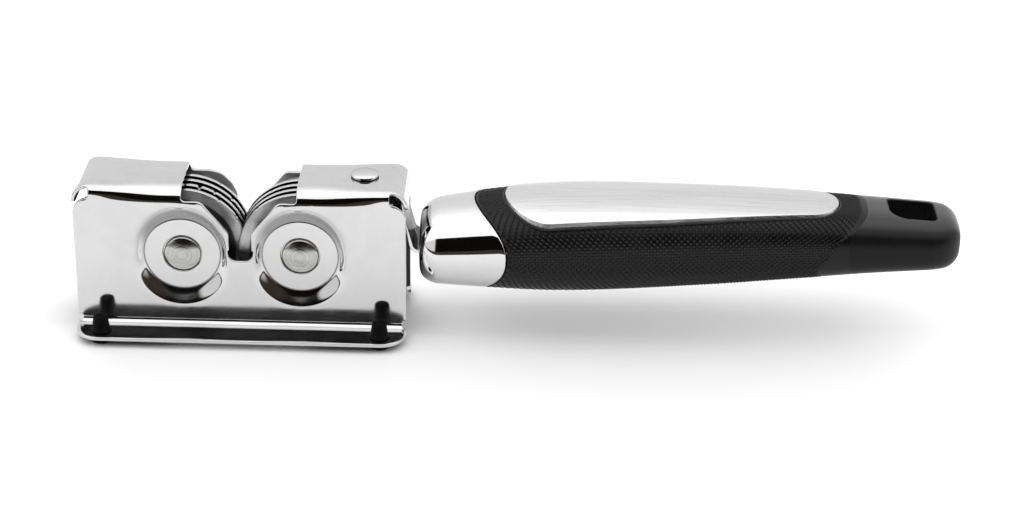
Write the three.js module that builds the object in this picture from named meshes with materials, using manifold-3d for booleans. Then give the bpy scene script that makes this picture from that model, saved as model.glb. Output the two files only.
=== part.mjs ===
// Roller knife sharpener: a folded sheet head with two packs of interleaved steel discs, carried on four
// rubber feet, and a soft-grip handle on a riveted strap. Millimetres, +Z up, the handle runs along +X and
// the front faces -Y. Lengths along X are measured from the knife slot, then the whole part is centred.
import * as THREE from "three";
import { mergeVertices } from "three/addons/utils/BufferGeometryUtils.js";
import Module from "manifold-3d";

const wasm = await Module();
wasm.setup();

// Folded sheet head
const HEAD_LENGTH = 79.6;
const HEAD_DEPTH = 19.7;
const SHEET = 0.9;
const FOLD_RADIUS = 3.5;
const FLANGE_RADIUS = 1.2;
const FLANGE_REACH = 9;
const FLANGE_CORNER = 6;
const FLANGE_HEIGHT = 2.6;
const AXLE_ABOVE_FLANGE = 17.8;
const TOP_ABOVE_AXLE = 17.95;
const LIP_RADIUS = 4;
const LIP_WIDTH = 17.7;
const LIP_DROP = 5.1;
const LIP_INSET = 0.04;
const CORNER_DROP = 3.1;
const CORNER_RADIUS = 4;
const RELIEF_NICK = 0.9;
const RELIEF_LIFT = 0.9;

// Knife notch in both plates, heights measured from the axle line
const TOP_GAP = 27.45;
const STEP_HEIGHT = 14.5;
const STEP_INNER = 9.3;
const NOTCH_ROUND = 1.6;
const SLOT_WIDTH = 5.4;
const SLOT_TOP = 6.4;
const KEYHOLE_WIDTH = 6.1;
const KEYHOLE_TOP = 0.95;
const SLOT_DEPTH = 0.65;

// Dished bearing seats, each an upright oval with a round floor, and axles
const AXLE_PITCH = 28.4;
const DISH_OVAL = 10.25;
const DISH_RISE = 2.6;
const DISH_LIFT = 0.3;
const DISH_FLOOR = 9.2;
const DISH_DEPTH = 1.8;
const AXLE_HOLE = 4.65;
const JOURNAL_RADIUS = 4.2;
const AXLE_RADIUS = 5.5;
const AXLE_END_DOME = 0.7;
const AXLE_SAG = 0.25;
const RUNNING_GAP = 0.1;

// Disc packs
const DISCS_PER_AXLE = 4;
const DISC_RADIUS = 15.2;
const DISC_THICK = 1.1;
const DISC_STEP = 2.8;
const BORE_FIT = 0.2;
const SPACER_RADIUS = 8.6;

// Strap and its rivet
const STRAP_WIDTH = 13;
const STRAP_THICK = 1;
const STRAP_LAP = 18.8;
const STRAP_LEAN = 2.6;
const STRAP_BEND = 2;
const STRAP_IN_HANDLE = 52;
const RIVET_FROM_END = 10.4;
const RIVET_HEAD = 3.4;
const RIVET_RIM = 0.5;
const RIVET_DOME = 0.95;
const RIVET_SHANK = 2;
const RIVET_TAIL = 3.1;
const RIVET_TAIL_HEIGHT = 1;
const CONTACT_GAP = 0.05;

// Rubber feet, at the corners of the flanges
const FOOT_FROM_END = 6.2;
const FOOT_OFFSET = 5;
const FOOT_PAD = 2.7;
const FOOT_NECK = 1.7;
const FOOT_CONE_BASE = 2.35;
const FOOT_CONE_TOP = 1.6;
const FOOT_CONE_HEIGHT = 3.9;

// Handle: stations give share of length, height of the middle above the axle line, half width, half height
// and the power of the oval, 2 being an ellipse and more being squarer
const NOSE_GAP = 3;
const HANDLE_LENGTH = 129.8;
const HANDLE_STATIONS = [
  [0, 1.2, 11.3, 9.95, 2],
  [0.1, 2.2, 12.9, 11.25, 2.1],
  [0.26, 3.25, 14.3, 11.85, 2.5],
  [0.52, 4.55, 13.4, 10.7, 2.7],
  [0.7, 5.4, 12.3, 9.2, 2.8],
  [0.82, 5.8, 11.5, 7.9, 2.9],
  [1, 6, 10.4, 6.2, 3],
];
const NOSE_ROUND = 3.4;
const NOSE_FACE = 0.66;
const TAIL_ROUND_PLAN = 8;
const TAIL_ROUND_SIDE = 4;
const TAIL_FACE = 0.4;
const SKIN = 1.8;
const SKIN_FIT = 0.2;
const SEAM = 0.3;
const FERRULE_TOP = 13;
const FERRULE_SIDE = 21;
const GRIP_TAIL_SIDE = 27.5;
const GRIP_TAIL_TOP = 22.5;
const CORE_WALL = 1.6;
const CORE_PLUG = 11;
const CORE_CAVITY_END = 19.5;

// Inlay plate on the crown of the grip and hang hole through the tail
const INLAY_FRONT = 20.2;
const INLAY_LENGTH = 80.5;
const INLAY_FRONT_WIDTH = 23.6;
const INLAY_REAR_WIDTH = 14.6;
const INLAY_SIDE_LEAN = 0.12;
const INLAY_PROUD = 0.6;
const INLAY_PROUD_REAR = 0.25;
const INLAY_SUNK = 0.4;
const INLAY_FIT = 0.25;
const HANG_LENGTH = 11;
const HANG_WIDTH = 10.4;
const HANG_CORNER = 2;
const HANG_FROM_END = 6.1;

// Facets round each kind of turned piece
const DISC_FACETS = 40;
const SHAFT_FACETS = 20;
const DISH_FACETS = 32;
const FOOT_FACETS = 14;
const RIVET_FACETS = 18;
const HANDLE_FACETS = 32;
const ARC_FACETS = 6;

// Places derived from the sizes above
const axleZ = FLANGE_HEIGHT + AXLE_ABOVE_FLANGE;
const topZ = axleZ + TOP_ABOVE_AXLE;
const halfLength = HEAD_LENGTH / 2;
const halfDepth = HEAD_DEPTH / 2;
const flangeEdge = halfDepth + FLANGE_REACH;
const seatInner = halfDepth - DISH_DEPTH - SHEET;
const noseX = halfLength + NOSE_GAP;
const tailX = noseX + HANDLE_LENGTH;
const through = 2 * flangeEdge + 2 * topZ;
const strapZ = axleZ + HANDLE_STATIONS[0][1];
const foldLine = halfDepth - FOLD_RADIUS;
const footX = halfLength - FOOT_FROM_END;
const rivetX = halfLength - RIVET_FROM_END;
const strapStart = halfLength - STRAP_LAP;

const chrome = { color: 0xc9cacb, roughness: 0.12, metalness: 1 };
const discSteel = { color: 0x8d8e8f, roughness: 0.38, metalness: 1 };
const plainSteel = { color: 0x9a9a98, roughness: 0.32, metalness: 1 };
const brushedSteel = { color: 0xb4b5b6, roughness: 0.34, metalness: 1 };
const softBlack = { color: 0x161617, roughness: 0.8, metalness: 0 };
const hardBlack = { color: 0x1b1b1c, roughness: 0.5, metalness: 0 };
const footBlack = { color: 0x111111, roughness: 0.7, metalness: 0 };

const sharpener = new THREE.Group();
sharpener.name = "knife_sharpener";
const assembly = new THREE.Group();
assembly.position.x = (halfLength - tailX) / 2;
sharpener.add(assembly);

function place(name, geometry, finish, parent = assembly) {
  const mesh = new THREE.Mesh(geometry, new THREE.MeshStandardMaterial(finish));
  mesh.name = name;
  parent.add(mesh);
  return mesh;
}

// A closed geometry as a solid for adding and cutting, and back again
function solidOf(geometry) {
  const bare = geometry.clone();
  bare.deleteAttribute("normal");
  bare.deleteAttribute("uv");
  const merged = mergeVertices(bare, 1e-4);
  return new wasm.Manifold(
    new wasm.Mesh({
      numProp: 3,
      vertProperties: new Float32Array(merged.attributes.position.array),
      triVerts: new Uint32Array(merged.index.array),
    }),
  );
}

function geometryOf(solid) {
  const mesh = solid.getMesh();
  return new THREE.BufferGeometry()
    .setAttribute("position", new THREE.BufferAttribute(mesh.vertProperties, 3))
    .setIndex(new THREE.BufferAttribute(mesh.triVerts, 1));
}

// A flat outline pushed straight through: along X with (y, z) points, along Y with (x, z) points,
// along Z with (x, y) points
function alongX(shape, length) {
  const solid = new THREE.ExtrudeGeometry(shape, {
    depth: length,
    bevelEnabled: false,
    curveSegments: ARC_FACETS,
  });
  const axes = new THREE.Matrix4().makeBasis(
    new THREE.Vector3(0, 1, 0),
    new THREE.Vector3(0, 0, 1),
    new THREE.Vector3(1, 0, 0),
  );
  return solid.applyMatrix4(axes).translate(-length / 2, 0, 0);
}

function alongY(shape, width, middle = 0) {
  const solid = new THREE.ExtrudeGeometry(shape, {
    depth: width,
    bevelEnabled: false,
    curveSegments: ARC_FACETS,
  });
  return solid.rotateX(Math.PI / 2).translate(0, middle + width / 2, 0);
}

function alongZ(shape, height, bottom) {
  const solid = new THREE.ExtrudeGeometry(shape, {
    depth: height,
    bevelEnabled: false,
    curveSegments: ARC_FACETS,
  });
  return solid.translate(0, 0, bottom);
}

// A turned profile of (radius, height) pairs round the Z axis, or round the Y axis where the head needs it
function turnedZ(profile, facets) {
  const points = profile.map(([radius, height]) => new THREE.Vector2(radius, height));
  return new THREE.LatheGeometry(points, facets).rotateX(Math.PI / 2);
}

function turnedY(profile, facets) {
  const points = profile.map(([radius, along]) => new THREE.Vector2(radius, along));
  return new THREE.LatheGeometry(points, facets);
}

// Profile of a plain cylinder, for turning
function rod(radius, from, to) {
  return [
    [0, from],
    [radius, from],
    [radius, to],
    [0, to],
  ];
}

function roundedRectangle(length, width, corner) {
  const x = length / 2;
  const y = width / 2;
  return new THREE.Shape()
    .moveTo(-x + corner, -y)
    .lineTo(x - corner, -y)
    .absarc(x - corner, -y + corner, corner, -Math.PI / 2, 0)
    .lineTo(x, y - corner)
    .absarc(x - corner, y - corner, corner, 0, Math.PI / 2)
    .lineTo(-x + corner, y)
    .absarc(-x + corner, y - corner, corner, Math.PI / 2, Math.PI)
    .lineTo(-x, -y + corner)
    .absarc(-x + corner, -y + corner, corner, Math.PI, 1.5 * Math.PI);
}

// Cross-section of the folded sheet: front flange, plate, top, plate, back flange, one thickness all the way
function sheetSection() {
  const inner = FOLD_RADIUS - SHEET;
  const flangeTurn = halfDepth + FLANGE_RADIUS;
  const turnZ = FLANGE_HEIGHT + FLANGE_RADIUS;
  const wide = FLANGE_RADIUS + SHEET;
  const foldZ = topZ - FOLD_RADIUS;
  const right = Math.PI / 2;
  return new THREE.Shape()
    .moveTo(-flangeEdge, FLANGE_HEIGHT - SHEET)
    .lineTo(-flangeTurn, FLANGE_HEIGHT - SHEET)
    .absarc(-flangeTurn, turnZ, wide, -right, 0, false)
    .lineTo(-halfDepth + SHEET, foldZ)
    .absarc(-foldLine, foldZ, inner, Math.PI, right, true)
    .lineTo(foldLine, topZ - SHEET)
    .absarc(foldLine, foldZ, inner, right, 0, true)
    .lineTo(halfDepth - SHEET, turnZ)
    .absarc(flangeTurn, turnZ, wide, Math.PI, 1.5 * Math.PI, false)
    .lineTo(flangeEdge, FLANGE_HEIGHT - SHEET)
    .lineTo(flangeEdge, FLANGE_HEIGHT)
    .lineTo(flangeTurn, FLANGE_HEIGHT)
    .absarc(flangeTurn, turnZ, FLANGE_RADIUS, 1.5 * Math.PI, Math.PI, true)
    .lineTo(halfDepth, foldZ)
    .absarc(foldLine, foldZ, FOLD_RADIUS, 0, right, false)
    .lineTo(-foldLine, topZ)
    .absarc(-foldLine, foldZ, FOLD_RADIUS, right, Math.PI, false)
    .lineTo(-halfDepth, turnZ)
    .absarc(-flangeTurn, turnZ, FLANGE_RADIUS, 0, -right, true)
    .lineTo(-flangeEdge, FLANGE_HEIGHT);
}

// Block a hair inside the outer face of the two folds: the lips are pressed to the same rounding
function foldEnvelope() {
  const foldZ = topZ - FOLD_RADIUS;
  const radius = FOLD_RADIUS - LIP_INSET;
  return new THREE.Shape()
    .moveTo(-foldLine - radius, axleZ)
    .lineTo(foldLine + radius, axleZ)
    .lineTo(foldLine + radius, foldZ)
    .absarc(foldLine, foldZ, radius, 0, Math.PI / 2, false)
    .lineTo(-foldLine, foldZ + radius)
    .absarc(-foldLine, foldZ, radius, Math.PI / 2, Math.PI, false);
}

// Knife notch: a gap in the top, a shoulder, a rounded V and a slot that ends in a wider keyhole
function notchShape() {
  const step = axleZ + STEP_HEIGHT;
  const slot = SLOT_WIDTH / 2;
  const slotTop = axleZ + SLOT_TOP;
  const key = KEYHOLE_WIDTH / 2;
  const shoulder = axleZ + KEYHOLE_TOP;
  const floor = axleZ - SLOT_DEPTH;
  const lead = NOTCH_ROUND * Math.SQRT1_2;
  const half = new THREE.Path()
    .moveTo(TOP_GAP / 2, topZ + SHEET)
    .lineTo(TOP_GAP / 2, step)
    .lineTo(STEP_INNER + NOTCH_ROUND, step)
    .quadraticCurveTo(STEP_INNER, step, STEP_INNER - lead, step - lead)
    .lineTo(slot + lead, slotTop + lead)
    .quadraticCurveTo(slot, slotTop, slot, slotTop - NOTCH_ROUND)
    .lineTo(slot, shoulder + key - slot)
    .lineTo(key, shoulder)
    .quadraticCurveTo(key, floor, 0, floor)
    .getPoints(ARC_FACETS);
  const mirrored = half.slice(0, -1).map((point) => new THREE.Vector2(-point.x, point.y));
  return new THREE.Shape([...half, ...mirrored.reverse()]);
}

// Cut at a top corner of the head: clears the fold past the lip line and rounds the corner of each plate
function cornerShape(side) {
  const inner = halfLength - LIP_RADIUS;
  const outer = halfLength + SHEET;
  const low = topZ - CORNER_DROP;
  const points = new THREE.Shape()
    .moveTo(inner, topZ + SHEET)
    .lineTo(inner, low)
    .absarc(halfLength - CORNER_RADIUS, low - CORNER_RADIUS, CORNER_RADIUS, Math.PI / 2, 0, true)
    .lineTo(outer, low - CORNER_RADIUS)
    .lineTo(outer, topZ + SHEET)
    .getPoints(ARC_FACETS);
  const mirrored = points.map((point) => new THREE.Vector2(side * point.x, point.y));
  return new THREE.Shape(side < 0 ? mirrored.reverse() : mirrored);
}

// Lip at an end of the head: the top sheet rolled down through a quarter turn
function lipShape(side) {
  const start = halfLength - LIP_RADIUS;
  const turnZ = topZ - LIP_RADIUS;
  const inner = LIP_RADIUS - SHEET;
  const points = new THREE.Shape()
    .moveTo(start - SHEET, topZ)
    .lineTo(start, topZ)
    .absarc(start, turnZ, LIP_RADIUS, Math.PI / 2, 0, true)
    .lineTo(halfLength, topZ - LIP_DROP)
    .lineTo(halfLength - SHEET, topZ - LIP_DROP)
    .lineTo(halfLength - SHEET, turnZ)
    .absarc(start, turnZ, inner, 0, Math.PI / 2, false)
    .lineTo(start - SHEET, topZ - SHEET)
    .getPoints(ARC_FACETS);
  const mirrored = points.map((point) => new THREE.Vector2(side * point.x, point.y));
  return new THREE.Shape(side < 0 ? mirrored.reverse() : mirrored);
}

// Wall from an upright oval, a slab between two depths, to a round floor at a third depth. Depths run inward
// along +Y from the front plate's outer face.
function seat(ovalRadius, from, to, floorRadius, floorDepth) {
  const oval = new THREE.Shape()
    .absarc(0, DISH_LIFT + DISH_RISE, ovalRadius, 0, Math.PI, false)
    .absarc(0, DISH_LIFT - DISH_RISE, ovalRadius, Math.PI, 2 * Math.PI, false);
  const slab = solidOf(alongY(oval, to - from, (from + to) / 2));
  const floor = solidOf(turnedY(rod(floorRadius, to, floorDepth), DISH_FACETS));
  return wasm.Manifold.hull([slab, floor]);
}

function housing() {
  let body = solidOf(alongX(sheetSection(), HEAD_LENGTH));
  const plan = roundedRectangle(HEAD_LENGTH, 2 * flangeEdge, FLANGE_CORNER);
  body = body.intersect(solidOf(alongZ(plan, 2 * topZ, -topZ / 2)));
  const envelope = solidOf(alongX(foldEnvelope(), HEAD_LENGTH));
  for (const side of [-1, 1]) {
    body = body.subtract(solidOf(alongY(cornerShape(side), through)));
    body = body.add(solidOf(alongY(lipShape(side), LIP_WIDTH)).intersect(envelope));
  }
  // Round nick at each end of both flange bends, where the sheet was slit before bending
  const nick = turnedY(rod(RELIEF_NICK, -through / 2, through / 2), SHAFT_FACETS);
  for (const side of [-1, 1]) {
    const at = nick.clone().translate(side * halfLength, 0, FLANGE_HEIGHT + RELIEF_LIFT);
    body = body.subtract(solidOf(at));
  }
  // Seats pressed inward round each axle hole, the same thickness as the sheet
  const embed = SHEET / 2;
  const boss = seat(DISH_OVAL + embed, embed / 2, embed, DISH_FLOOR + embed, DISH_DEPTH + SHEET);
  const dish = seat(DISH_OVAL, -SHEET, 0, DISH_FLOOR, DISH_DEPTH);
  const hole = solidOf(turnedY(rod(AXLE_HOLE, -SHEET, DISH_DEPTH + 2 * SHEET), SHAFT_FACETS));
  for (const side of [-1, 1]) {
    for (const face of [-1, 1]) {
      const stamp = (solid) => {
        const inward = face < 0 ? solid : solid.mirror([0, 1, 0]);
        return inward.translate([(side * AXLE_PITCH) / 2, face * halfDepth, axleZ]);
      };
      body = body.add(stamp(boss));
      body = body.subtract(stamp(dish));
      body = body.subtract(stamp(hole));
    }
  }
  body = body.subtract(solidOf(alongY(notchShape(), through)));
  // Holes for the feet and the rivet
  for (const side of [-1, 1]) {
    for (const face of [-1, 1]) {
      const foot = turnedZ(rod(FOOT_NECK + CONTACT_GAP, -topZ, topZ), FOOT_FACETS);
      foot.translate(side * footX, face * (halfDepth + FOOT_OFFSET), 0);
      body = body.subtract(solidOf(foot));
    }
  }
  const rivetHole = turnedZ(rod(RIVET_SHANK + CONTACT_GAP, topZ - 2 * SHEET, topZ + SHEET), RIVET_FACETS);
  rivetHole.translate(rivetX, 0, 0);
  return geometryOf(body.subtract(solidOf(rivetHole)));
}

place("housing", housing(), chrome);

// Axles with a wide middle held between the seats, and low domed ends that show in the holes
const axleHalf = halfDepth - DISH_DEPTH - RUNNING_GAP;
const axleBody = seatInner - RUNNING_GAP;
const axleProfile = [
  ...evenShares(ARC_FACETS / 2).map((share) => [
    JOURNAL_RADIUS * share,
    -axleHalf - AXLE_END_DOME * (1 - share ** 2),
  ]),
  [JOURNAL_RADIUS, -axleBody],
  [AXLE_RADIUS, -axleBody],
];
const axleTurn = [
  ...axleProfile,
  ...axleProfile.map(([radius, along]) => [radius, -along]).reverse(),
];

function ringShape(outer, inner, outerFacets, innerFacets) {
  const circle = (radius, facets) => {
    return Array.from({ length: facets }, (_, i) => {
      const angle = (2 * Math.PI * i) / facets;
      return new THREE.Vector2(radius * Math.sin(angle), radius * Math.cos(angle));
    });
  };
  const shape = new THREE.Shape(circle(outer, outerFacets).reverse());
  shape.holes.push(new THREE.Path(circle(inner, innerFacets)));
  return shape;
}

// A flat ring on an axle, from one place along Y to another
function ringOnAxle(outer, facets, from, to) {
  const shape = ringShape(outer, AXLE_RADIUS + BORE_FIT, facets, SHAFT_FACETS);
  return alongY(shape, to - from, (from + to) / 2);
}

// The right pack lies one half step in front of the left one, so that the discs pass between each other
const packSpan = (DISCS_PER_AXLE - 1) * DISC_STEP;
for (const [label, side, shift] of [
  ["left", -1, DISC_STEP / 4],
  ["right", 1, -DISC_STEP / 4],
]) {
  const pack = new THREE.Group();
  pack.position.set((side * AXLE_PITCH) / 2, 0, axleZ - AXLE_SAG);
  assembly.add(pack);
  place(`${label}_axle`, turnedY(axleTurn, SHAFT_FACETS), plainSteel, pack);
  const firstFace = shift - packSpan / 2 - DISC_THICK / 2;
  const lastFace = shift + packSpan / 2 + DISC_THICK / 2;
  for (let i = 0; i < DISCS_PER_AXLE; i += 1) {
    const front = firstFace + i * DISC_STEP;
    const disc = ringOnAxle(DISC_RADIUS, DISC_FACETS, front, front + DISC_THICK);
    place(`${label}_disc_${i + 1}`, disc, discSteel, pack);
    if (i === DISCS_PER_AXLE - 1) continue;
    const gapFrom = front + DISC_THICK + RUNNING_GAP;
    const gapTo = front + DISC_STEP - RUNNING_GAP;
    const spacer = ringOnAxle(SPACER_RADIUS, SHAFT_FACETS, gapFrom, gapTo);
    place(`${label}_spacer_${i + 1}`, spacer, plainSteel, pack);
  }
  const collarEnd = seatInner - RUNNING_GAP;
  for (const [face, from, to] of [
    ["front", -collarEnd, firstFace - RUNNING_GAP],
    ["back", lastFace + RUNNING_GAP, collarEnd],
  ]) {
    const collar = ringOnAxle(SPACER_RADIUS, SHAFT_FACETS, from, to);
    place(`${label}_${face}_collar`, collar, plainSteel, pack);
  }
}

// Strap: flat under the top sheet, rolled down inside the lip, leaning outward, then level into the handle
const strapEnd = noseX + STRAP_IN_HANDLE;
const strapTop = topZ - SHEET - CONTACT_GAP;

function strapShape() {
  const outer = LIP_RADIUS - SHEET - CONTACT_GAP;
  const turnX = halfLength - LIP_RADIUS;
  const turnZ = topZ - LIP_RADIUS;
  const lipClear = topZ - LIP_DROP;
  const faceX = turnX + outer;
  const heelX = faceX + STRAP_LEAN;
  const level = strapZ + STRAP_THICK / 2;
  return new THREE.Shape()
    .moveTo(strapStart, strapTop - STRAP_THICK)
    .lineTo(turnX, strapTop - STRAP_THICK)
    .absarc(turnX, turnZ, outer - STRAP_THICK, Math.PI / 2, 0, true)
    .lineTo(faceX - STRAP_THICK, lipClear)
    .lineTo(heelX - STRAP_THICK, level + STRAP_BEND)
    .quadraticCurveTo(heelX - STRAP_THICK, level - STRAP_THICK, heelX + STRAP_BEND, level - STRAP_THICK)
    .lineTo(strapEnd, level - STRAP_THICK)
    .lineTo(strapEnd, level)
    .lineTo(heelX + STRAP_BEND, level)
    .quadraticCurveTo(heelX, level, heelX, level + STRAP_BEND)
    .lineTo(faceX, lipClear)
    .lineTo(faceX, turnZ)
    .absarc(turnX, turnZ, outer, 0, Math.PI / 2, false)
    .lineTo(strapStart, strapTop);
}

const strapBlank = solidOf(alongY(strapShape(), STRAP_WIDTH));
const strapBore = turnedZ(rod(RIVET_SHANK + CONTACT_GAP, axleZ, 2 * topZ), RIVET_FACETS);
strapBore.translate(rivetX, 0, 0);
place("tang_strap", geometryOf(strapBlank.subtract(solidOf(strapBore))), plainSteel);

const tailZ = strapTop - STRAP_THICK - CONTACT_GAP;
const headZ = topZ + CONTACT_GAP;
const domeArc = [0, 0.4, 0.72].map((share) => [
  RIVET_HEAD * Math.cos((share * Math.PI) / 2),
  headZ + RIVET_RIM + RIVET_DOME * Math.sin((share * Math.PI) / 2),
]);
const rivetProfile = [
  [0, tailZ - RIVET_TAIL_HEIGHT],
  [RIVET_TAIL * 0.75, tailZ - RIVET_TAIL_HEIGHT * 0.85],
  [RIVET_TAIL, tailZ],
  [RIVET_SHANK, tailZ],
  [RIVET_SHANK, headZ],
  [RIVET_HEAD, headZ],
  ...domeArc,
  [0, headZ + RIVET_RIM + RIVET_DOME],
];
place("strap_rivet", turnedZ(rivetProfile, RIVET_FACETS), chrome).position.x = rivetX;

// Push-in rubber feet: a domed pad under the flange, a neck in the hole, a cone above
const footUnder = FLANGE_HEIGHT - SHEET - CONTACT_GAP;
const footOver = FLANGE_HEIGHT + CONTACT_GAP;
const footProfile = [
  [0, 0],
  [FOOT_PAD * 0.82, 0],
  [FOOT_PAD, footUnder * 0.4],
  [FOOT_PAD, footUnder],
  [FOOT_NECK, footUnder],
  [FOOT_NECK, footOver],
  [FOOT_CONE_BASE, footOver],
  [FOOT_CONE_TOP, footOver + FOOT_CONE_HEIGHT * 0.93],
  [FOOT_CONE_TOP * 0.75, footOver + FOOT_CONE_HEIGHT],
  [0, footOver + FOOT_CONE_HEIGHT],
];
for (const [face, depthWord] of [
  [-1, "front"],
  [1, "back"],
]) {
  for (const [side, sideWord] of [
    [-1, "left"],
    [1, "right"],
  ]) {
    const foot = place(`foot_${depthWord}_${sideWord}`, turnedZ(footProfile, FOOT_FACETS), footBlack);
    foot.position.set(side * footX, face * (halfDepth + FOOT_OFFSET), 0);
  }
}

// Handle section at a place along X: a rounded oval that swells behind the ferrule and flattens to the tail
const stationShares = HANDLE_STATIONS.map(([share]) => share);
const stationSizes = HANDLE_STATIONS.flatMap((station) => station.slice(1));
const stationCurve = new THREE.CubicInterpolant(stationShares, stationSizes, 4);

function capShare(distance, radius, face) {
  const along = Math.min(1, Math.max(0, distance / radius));
  return face + (1 - face) * Math.sqrt(1 - (1 - along) ** 2);
}

function handlePoint(x, angle, inset) {
  const share = THREE.MathUtils.clamp((x - noseX) / HANDLE_LENGTH, 0, 1);
  const [lift, width, height, square] = stationCurve.evaluate(share);
  const nose = capShare(x - noseX, NOSE_ROUND, NOSE_FACE);
  const halfWidth = width * nose * capShare(tailX - x, TAIL_ROUND_PLAN, TAIL_FACE) - inset;
  const halfHeight = height * nose * capShare(tailX - x, TAIL_ROUND_SIDE, TAIL_FACE) - inset;
  const power = 2 / square;
  const cos = Math.cos(angle);
  const sin = Math.sin(angle);
  return new THREE.Vector3(
    x,
    halfWidth * Math.sign(cos) * Math.abs(cos) ** power,
    axleZ + lift + halfHeight * Math.sign(sin) * Math.abs(sin) ** power,
  );
}

// A solid through a row of rings, each given by its place and inset at every angle. The row either closes
// on itself into a sleeve, or is closed by a flat face at both ends.
function ringSolid(rings, sleeve = false) {
  const points = [];
  const index = [];
  for (const ring of rings) {
    for (let j = 0; j < HANDLE_FACETS; j += 1) {
      const angle = (2 * Math.PI * j) / HANDLE_FACETS;
      const [x, inset] = ring(angle);
      points.push(handlePoint(x, angle, inset));
    }
  }
  const spans = sleeve ? rings.length : rings.length - 1;
  for (let i = 0; i < spans; i += 1) {
    const here = i * HANDLE_FACETS;
    const next = ((i + 1) % rings.length) * HANDLE_FACETS;
    for (let j = 0; j < HANDLE_FACETS; j += 1) {
      const k = (j + 1) % HANDLE_FACETS;
      index.push(here + j, next + j, next + k, here + j, next + k, here + k);
    }
  }
  if (!sleeve) {
    for (const [start, turned] of [
      [0, true],
      [(rings.length - 1) * HANDLE_FACETS, false],
    ]) {
      const middle = new THREE.Vector3();
      for (let j = 0; j < HANDLE_FACETS; j += 1) middle.add(points[start + j]);
      points.push(middle.divideScalar(HANDLE_FACETS));
      for (let j = 0; j < HANDLE_FACETS; j += 1) {
        const k = (j + 1) % HANDLE_FACETS;
        const pair = turned ? [start + j, start + k] : [start + k, start + j];
        index.push(points.length - 1, ...pair);
      }
    }
  }
  const outward = volumeOf(points, index) > 0 ? index : index.reverse();
  return new THREE.BufferGeometry().setFromPoints(points).setIndex(outward);
}

function volumeOf(points, index) {
  let sum = 0;
  for (let i = 0; i < index.length; i += 3) {
    const [a, b, c] = [points[index[i]], points[index[i + 1]], points[index[i + 2]]];
    sum += a.dot(b.clone().cross(c));
  }
  return sum / 6;
}

// Seam curves round the handle: both run forward over the crown and the belly, back along the flanks
const ferruleEdge = (angle) => noseX + THREE.MathUtils.lerp(FERRULE_SIDE, FERRULE_TOP, Math.sin(angle) ** 2);
const gripEnd = (angle) => tailX - THREE.MathUtils.lerp(GRIP_TAIL_SIDE, GRIP_TAIL_TOP, Math.sin(angle) ** 2);

// Rings from one seam curve to another at one inset
function ringRow(from, to, inset, shares) {
  return shares.map((share) => (angle) => [THREE.MathUtils.lerp(from(angle), to(angle), share), inset]);
}

function evenShares(count) {
  return Array.from({ length: count + 1 }, (_, i) => i / count);
}

const at = (x) => () => x;
const noseSteps = [0, 0.08, 0.28, 0.6, 1];
const noseEnd = noseX + NOSE_ROUND;

// Ferrule: a thin cup with a rounded nose, slotted for the strap
const ferruleCup = ringSolid([
  ...ringRow(at(noseX), at(noseEnd), 0, noseSteps),
  ...ringRow(at(noseEnd), ferruleEdge, 0, evenShares(4)).slice(1),
  ...ringRow(ferruleEdge, at(noseEnd), SKIN, evenShares(3)),
  ...ringRow(at(noseEnd), at(noseX + SKIN), SKIN, [0.5, 1]),
]);
const strapSlot = new THREE.BoxGeometry(
  CORE_PLUG * 3,
  STRAP_WIDTH + 2 * SKIN_FIT,
  STRAP_THICK + 2 * SKIN_FIT,
).translate(noseX, 0, strapZ);
place("ferrule", geometryOf(solidOf(ferruleCup).subtract(solidOf(strapSlot))), chrome);

// Core: a plug in the ferrule, a hollow stem under the grip and the bare tail with the hang hole
const coreInset = SKIN + SKIN_FIT;
const coreFront = noseX + SKIN + SKIN_FIT;
const gripTailSeam = (angle) => gripEnd(angle) + SEAM;
const coreStem = ringSolid([
  ...ringRow(at(coreFront), at(noseEnd), coreInset, [0, 0.5, 1]),
  ...ringRow(at(noseEnd), gripTailSeam, coreInset, evenShares(8)).slice(1),
  ...ringRow(gripTailSeam, at(tailX - TAIL_ROUND_PLAN), 0, evenShares(3)),
  ...ringRow(at(tailX - TAIL_ROUND_PLAN), at(tailX), 0, [0.3, 0.55, 0.75, 0.9, 0.97, 1]),
]);
const cavity = ringSolid(
  ringRow(at(noseX + CORE_PLUG), at(tailX - CORE_CAVITY_END), coreInset + CORE_WALL, evenShares(6)),
);
const plugSlot = strapSlot.clone().translate(CORE_PLUG, 0, 0);
const hangShape = roundedRectangle(HANG_LENGTH, HANG_WIDTH, HANG_CORNER);
const hangHole = alongZ(hangShape, 2 * topZ, 0).translate(tailX - HANG_FROM_END - HANG_LENGTH / 2, 0, 0);
const core = solidOf(coreStem)
  .subtract(solidOf(cavity))
  .subtract(solidOf(plugSlot))
  .subtract(solidOf(hangHole));
place("handle_core", geometryOf(core), hardBlack);

// Long oval of the inlay seen from above: two round ends of different width joined by bowed sides
function inlayOutline(grow) {
  const front = INLAY_FRONT_WIDTH / 2 + grow;
  const rear = INLAY_REAR_WIDTH / 2 + grow;
  const frontX = noseX + INLAY_FRONT + INLAY_FRONT_WIDTH / 2;
  const rearX = noseX + INLAY_FRONT + INLAY_LENGTH - INLAY_REAR_WIDTH / 2;
  const turn = Math.PI / 2 - INLAY_SIDE_LEAN;
  const endX = rearX + rear * Math.cos(turn);
  const endY = rear * Math.sin(turn);
  const bowX = endX - (front - endY) / Math.tan(INLAY_SIDE_LEAN);
  return new THREE.Shape()
    .absarc(frontX, 0, front, Math.PI / 2, 1.5 * Math.PI, false)
    .quadraticCurveTo(bowX, -front, endX, -endY)
    .absarc(rearX, 0, rear, -turn, turn, false)
    .quadraticCurveTo(bowX, front, frontX, front);
}

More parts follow.
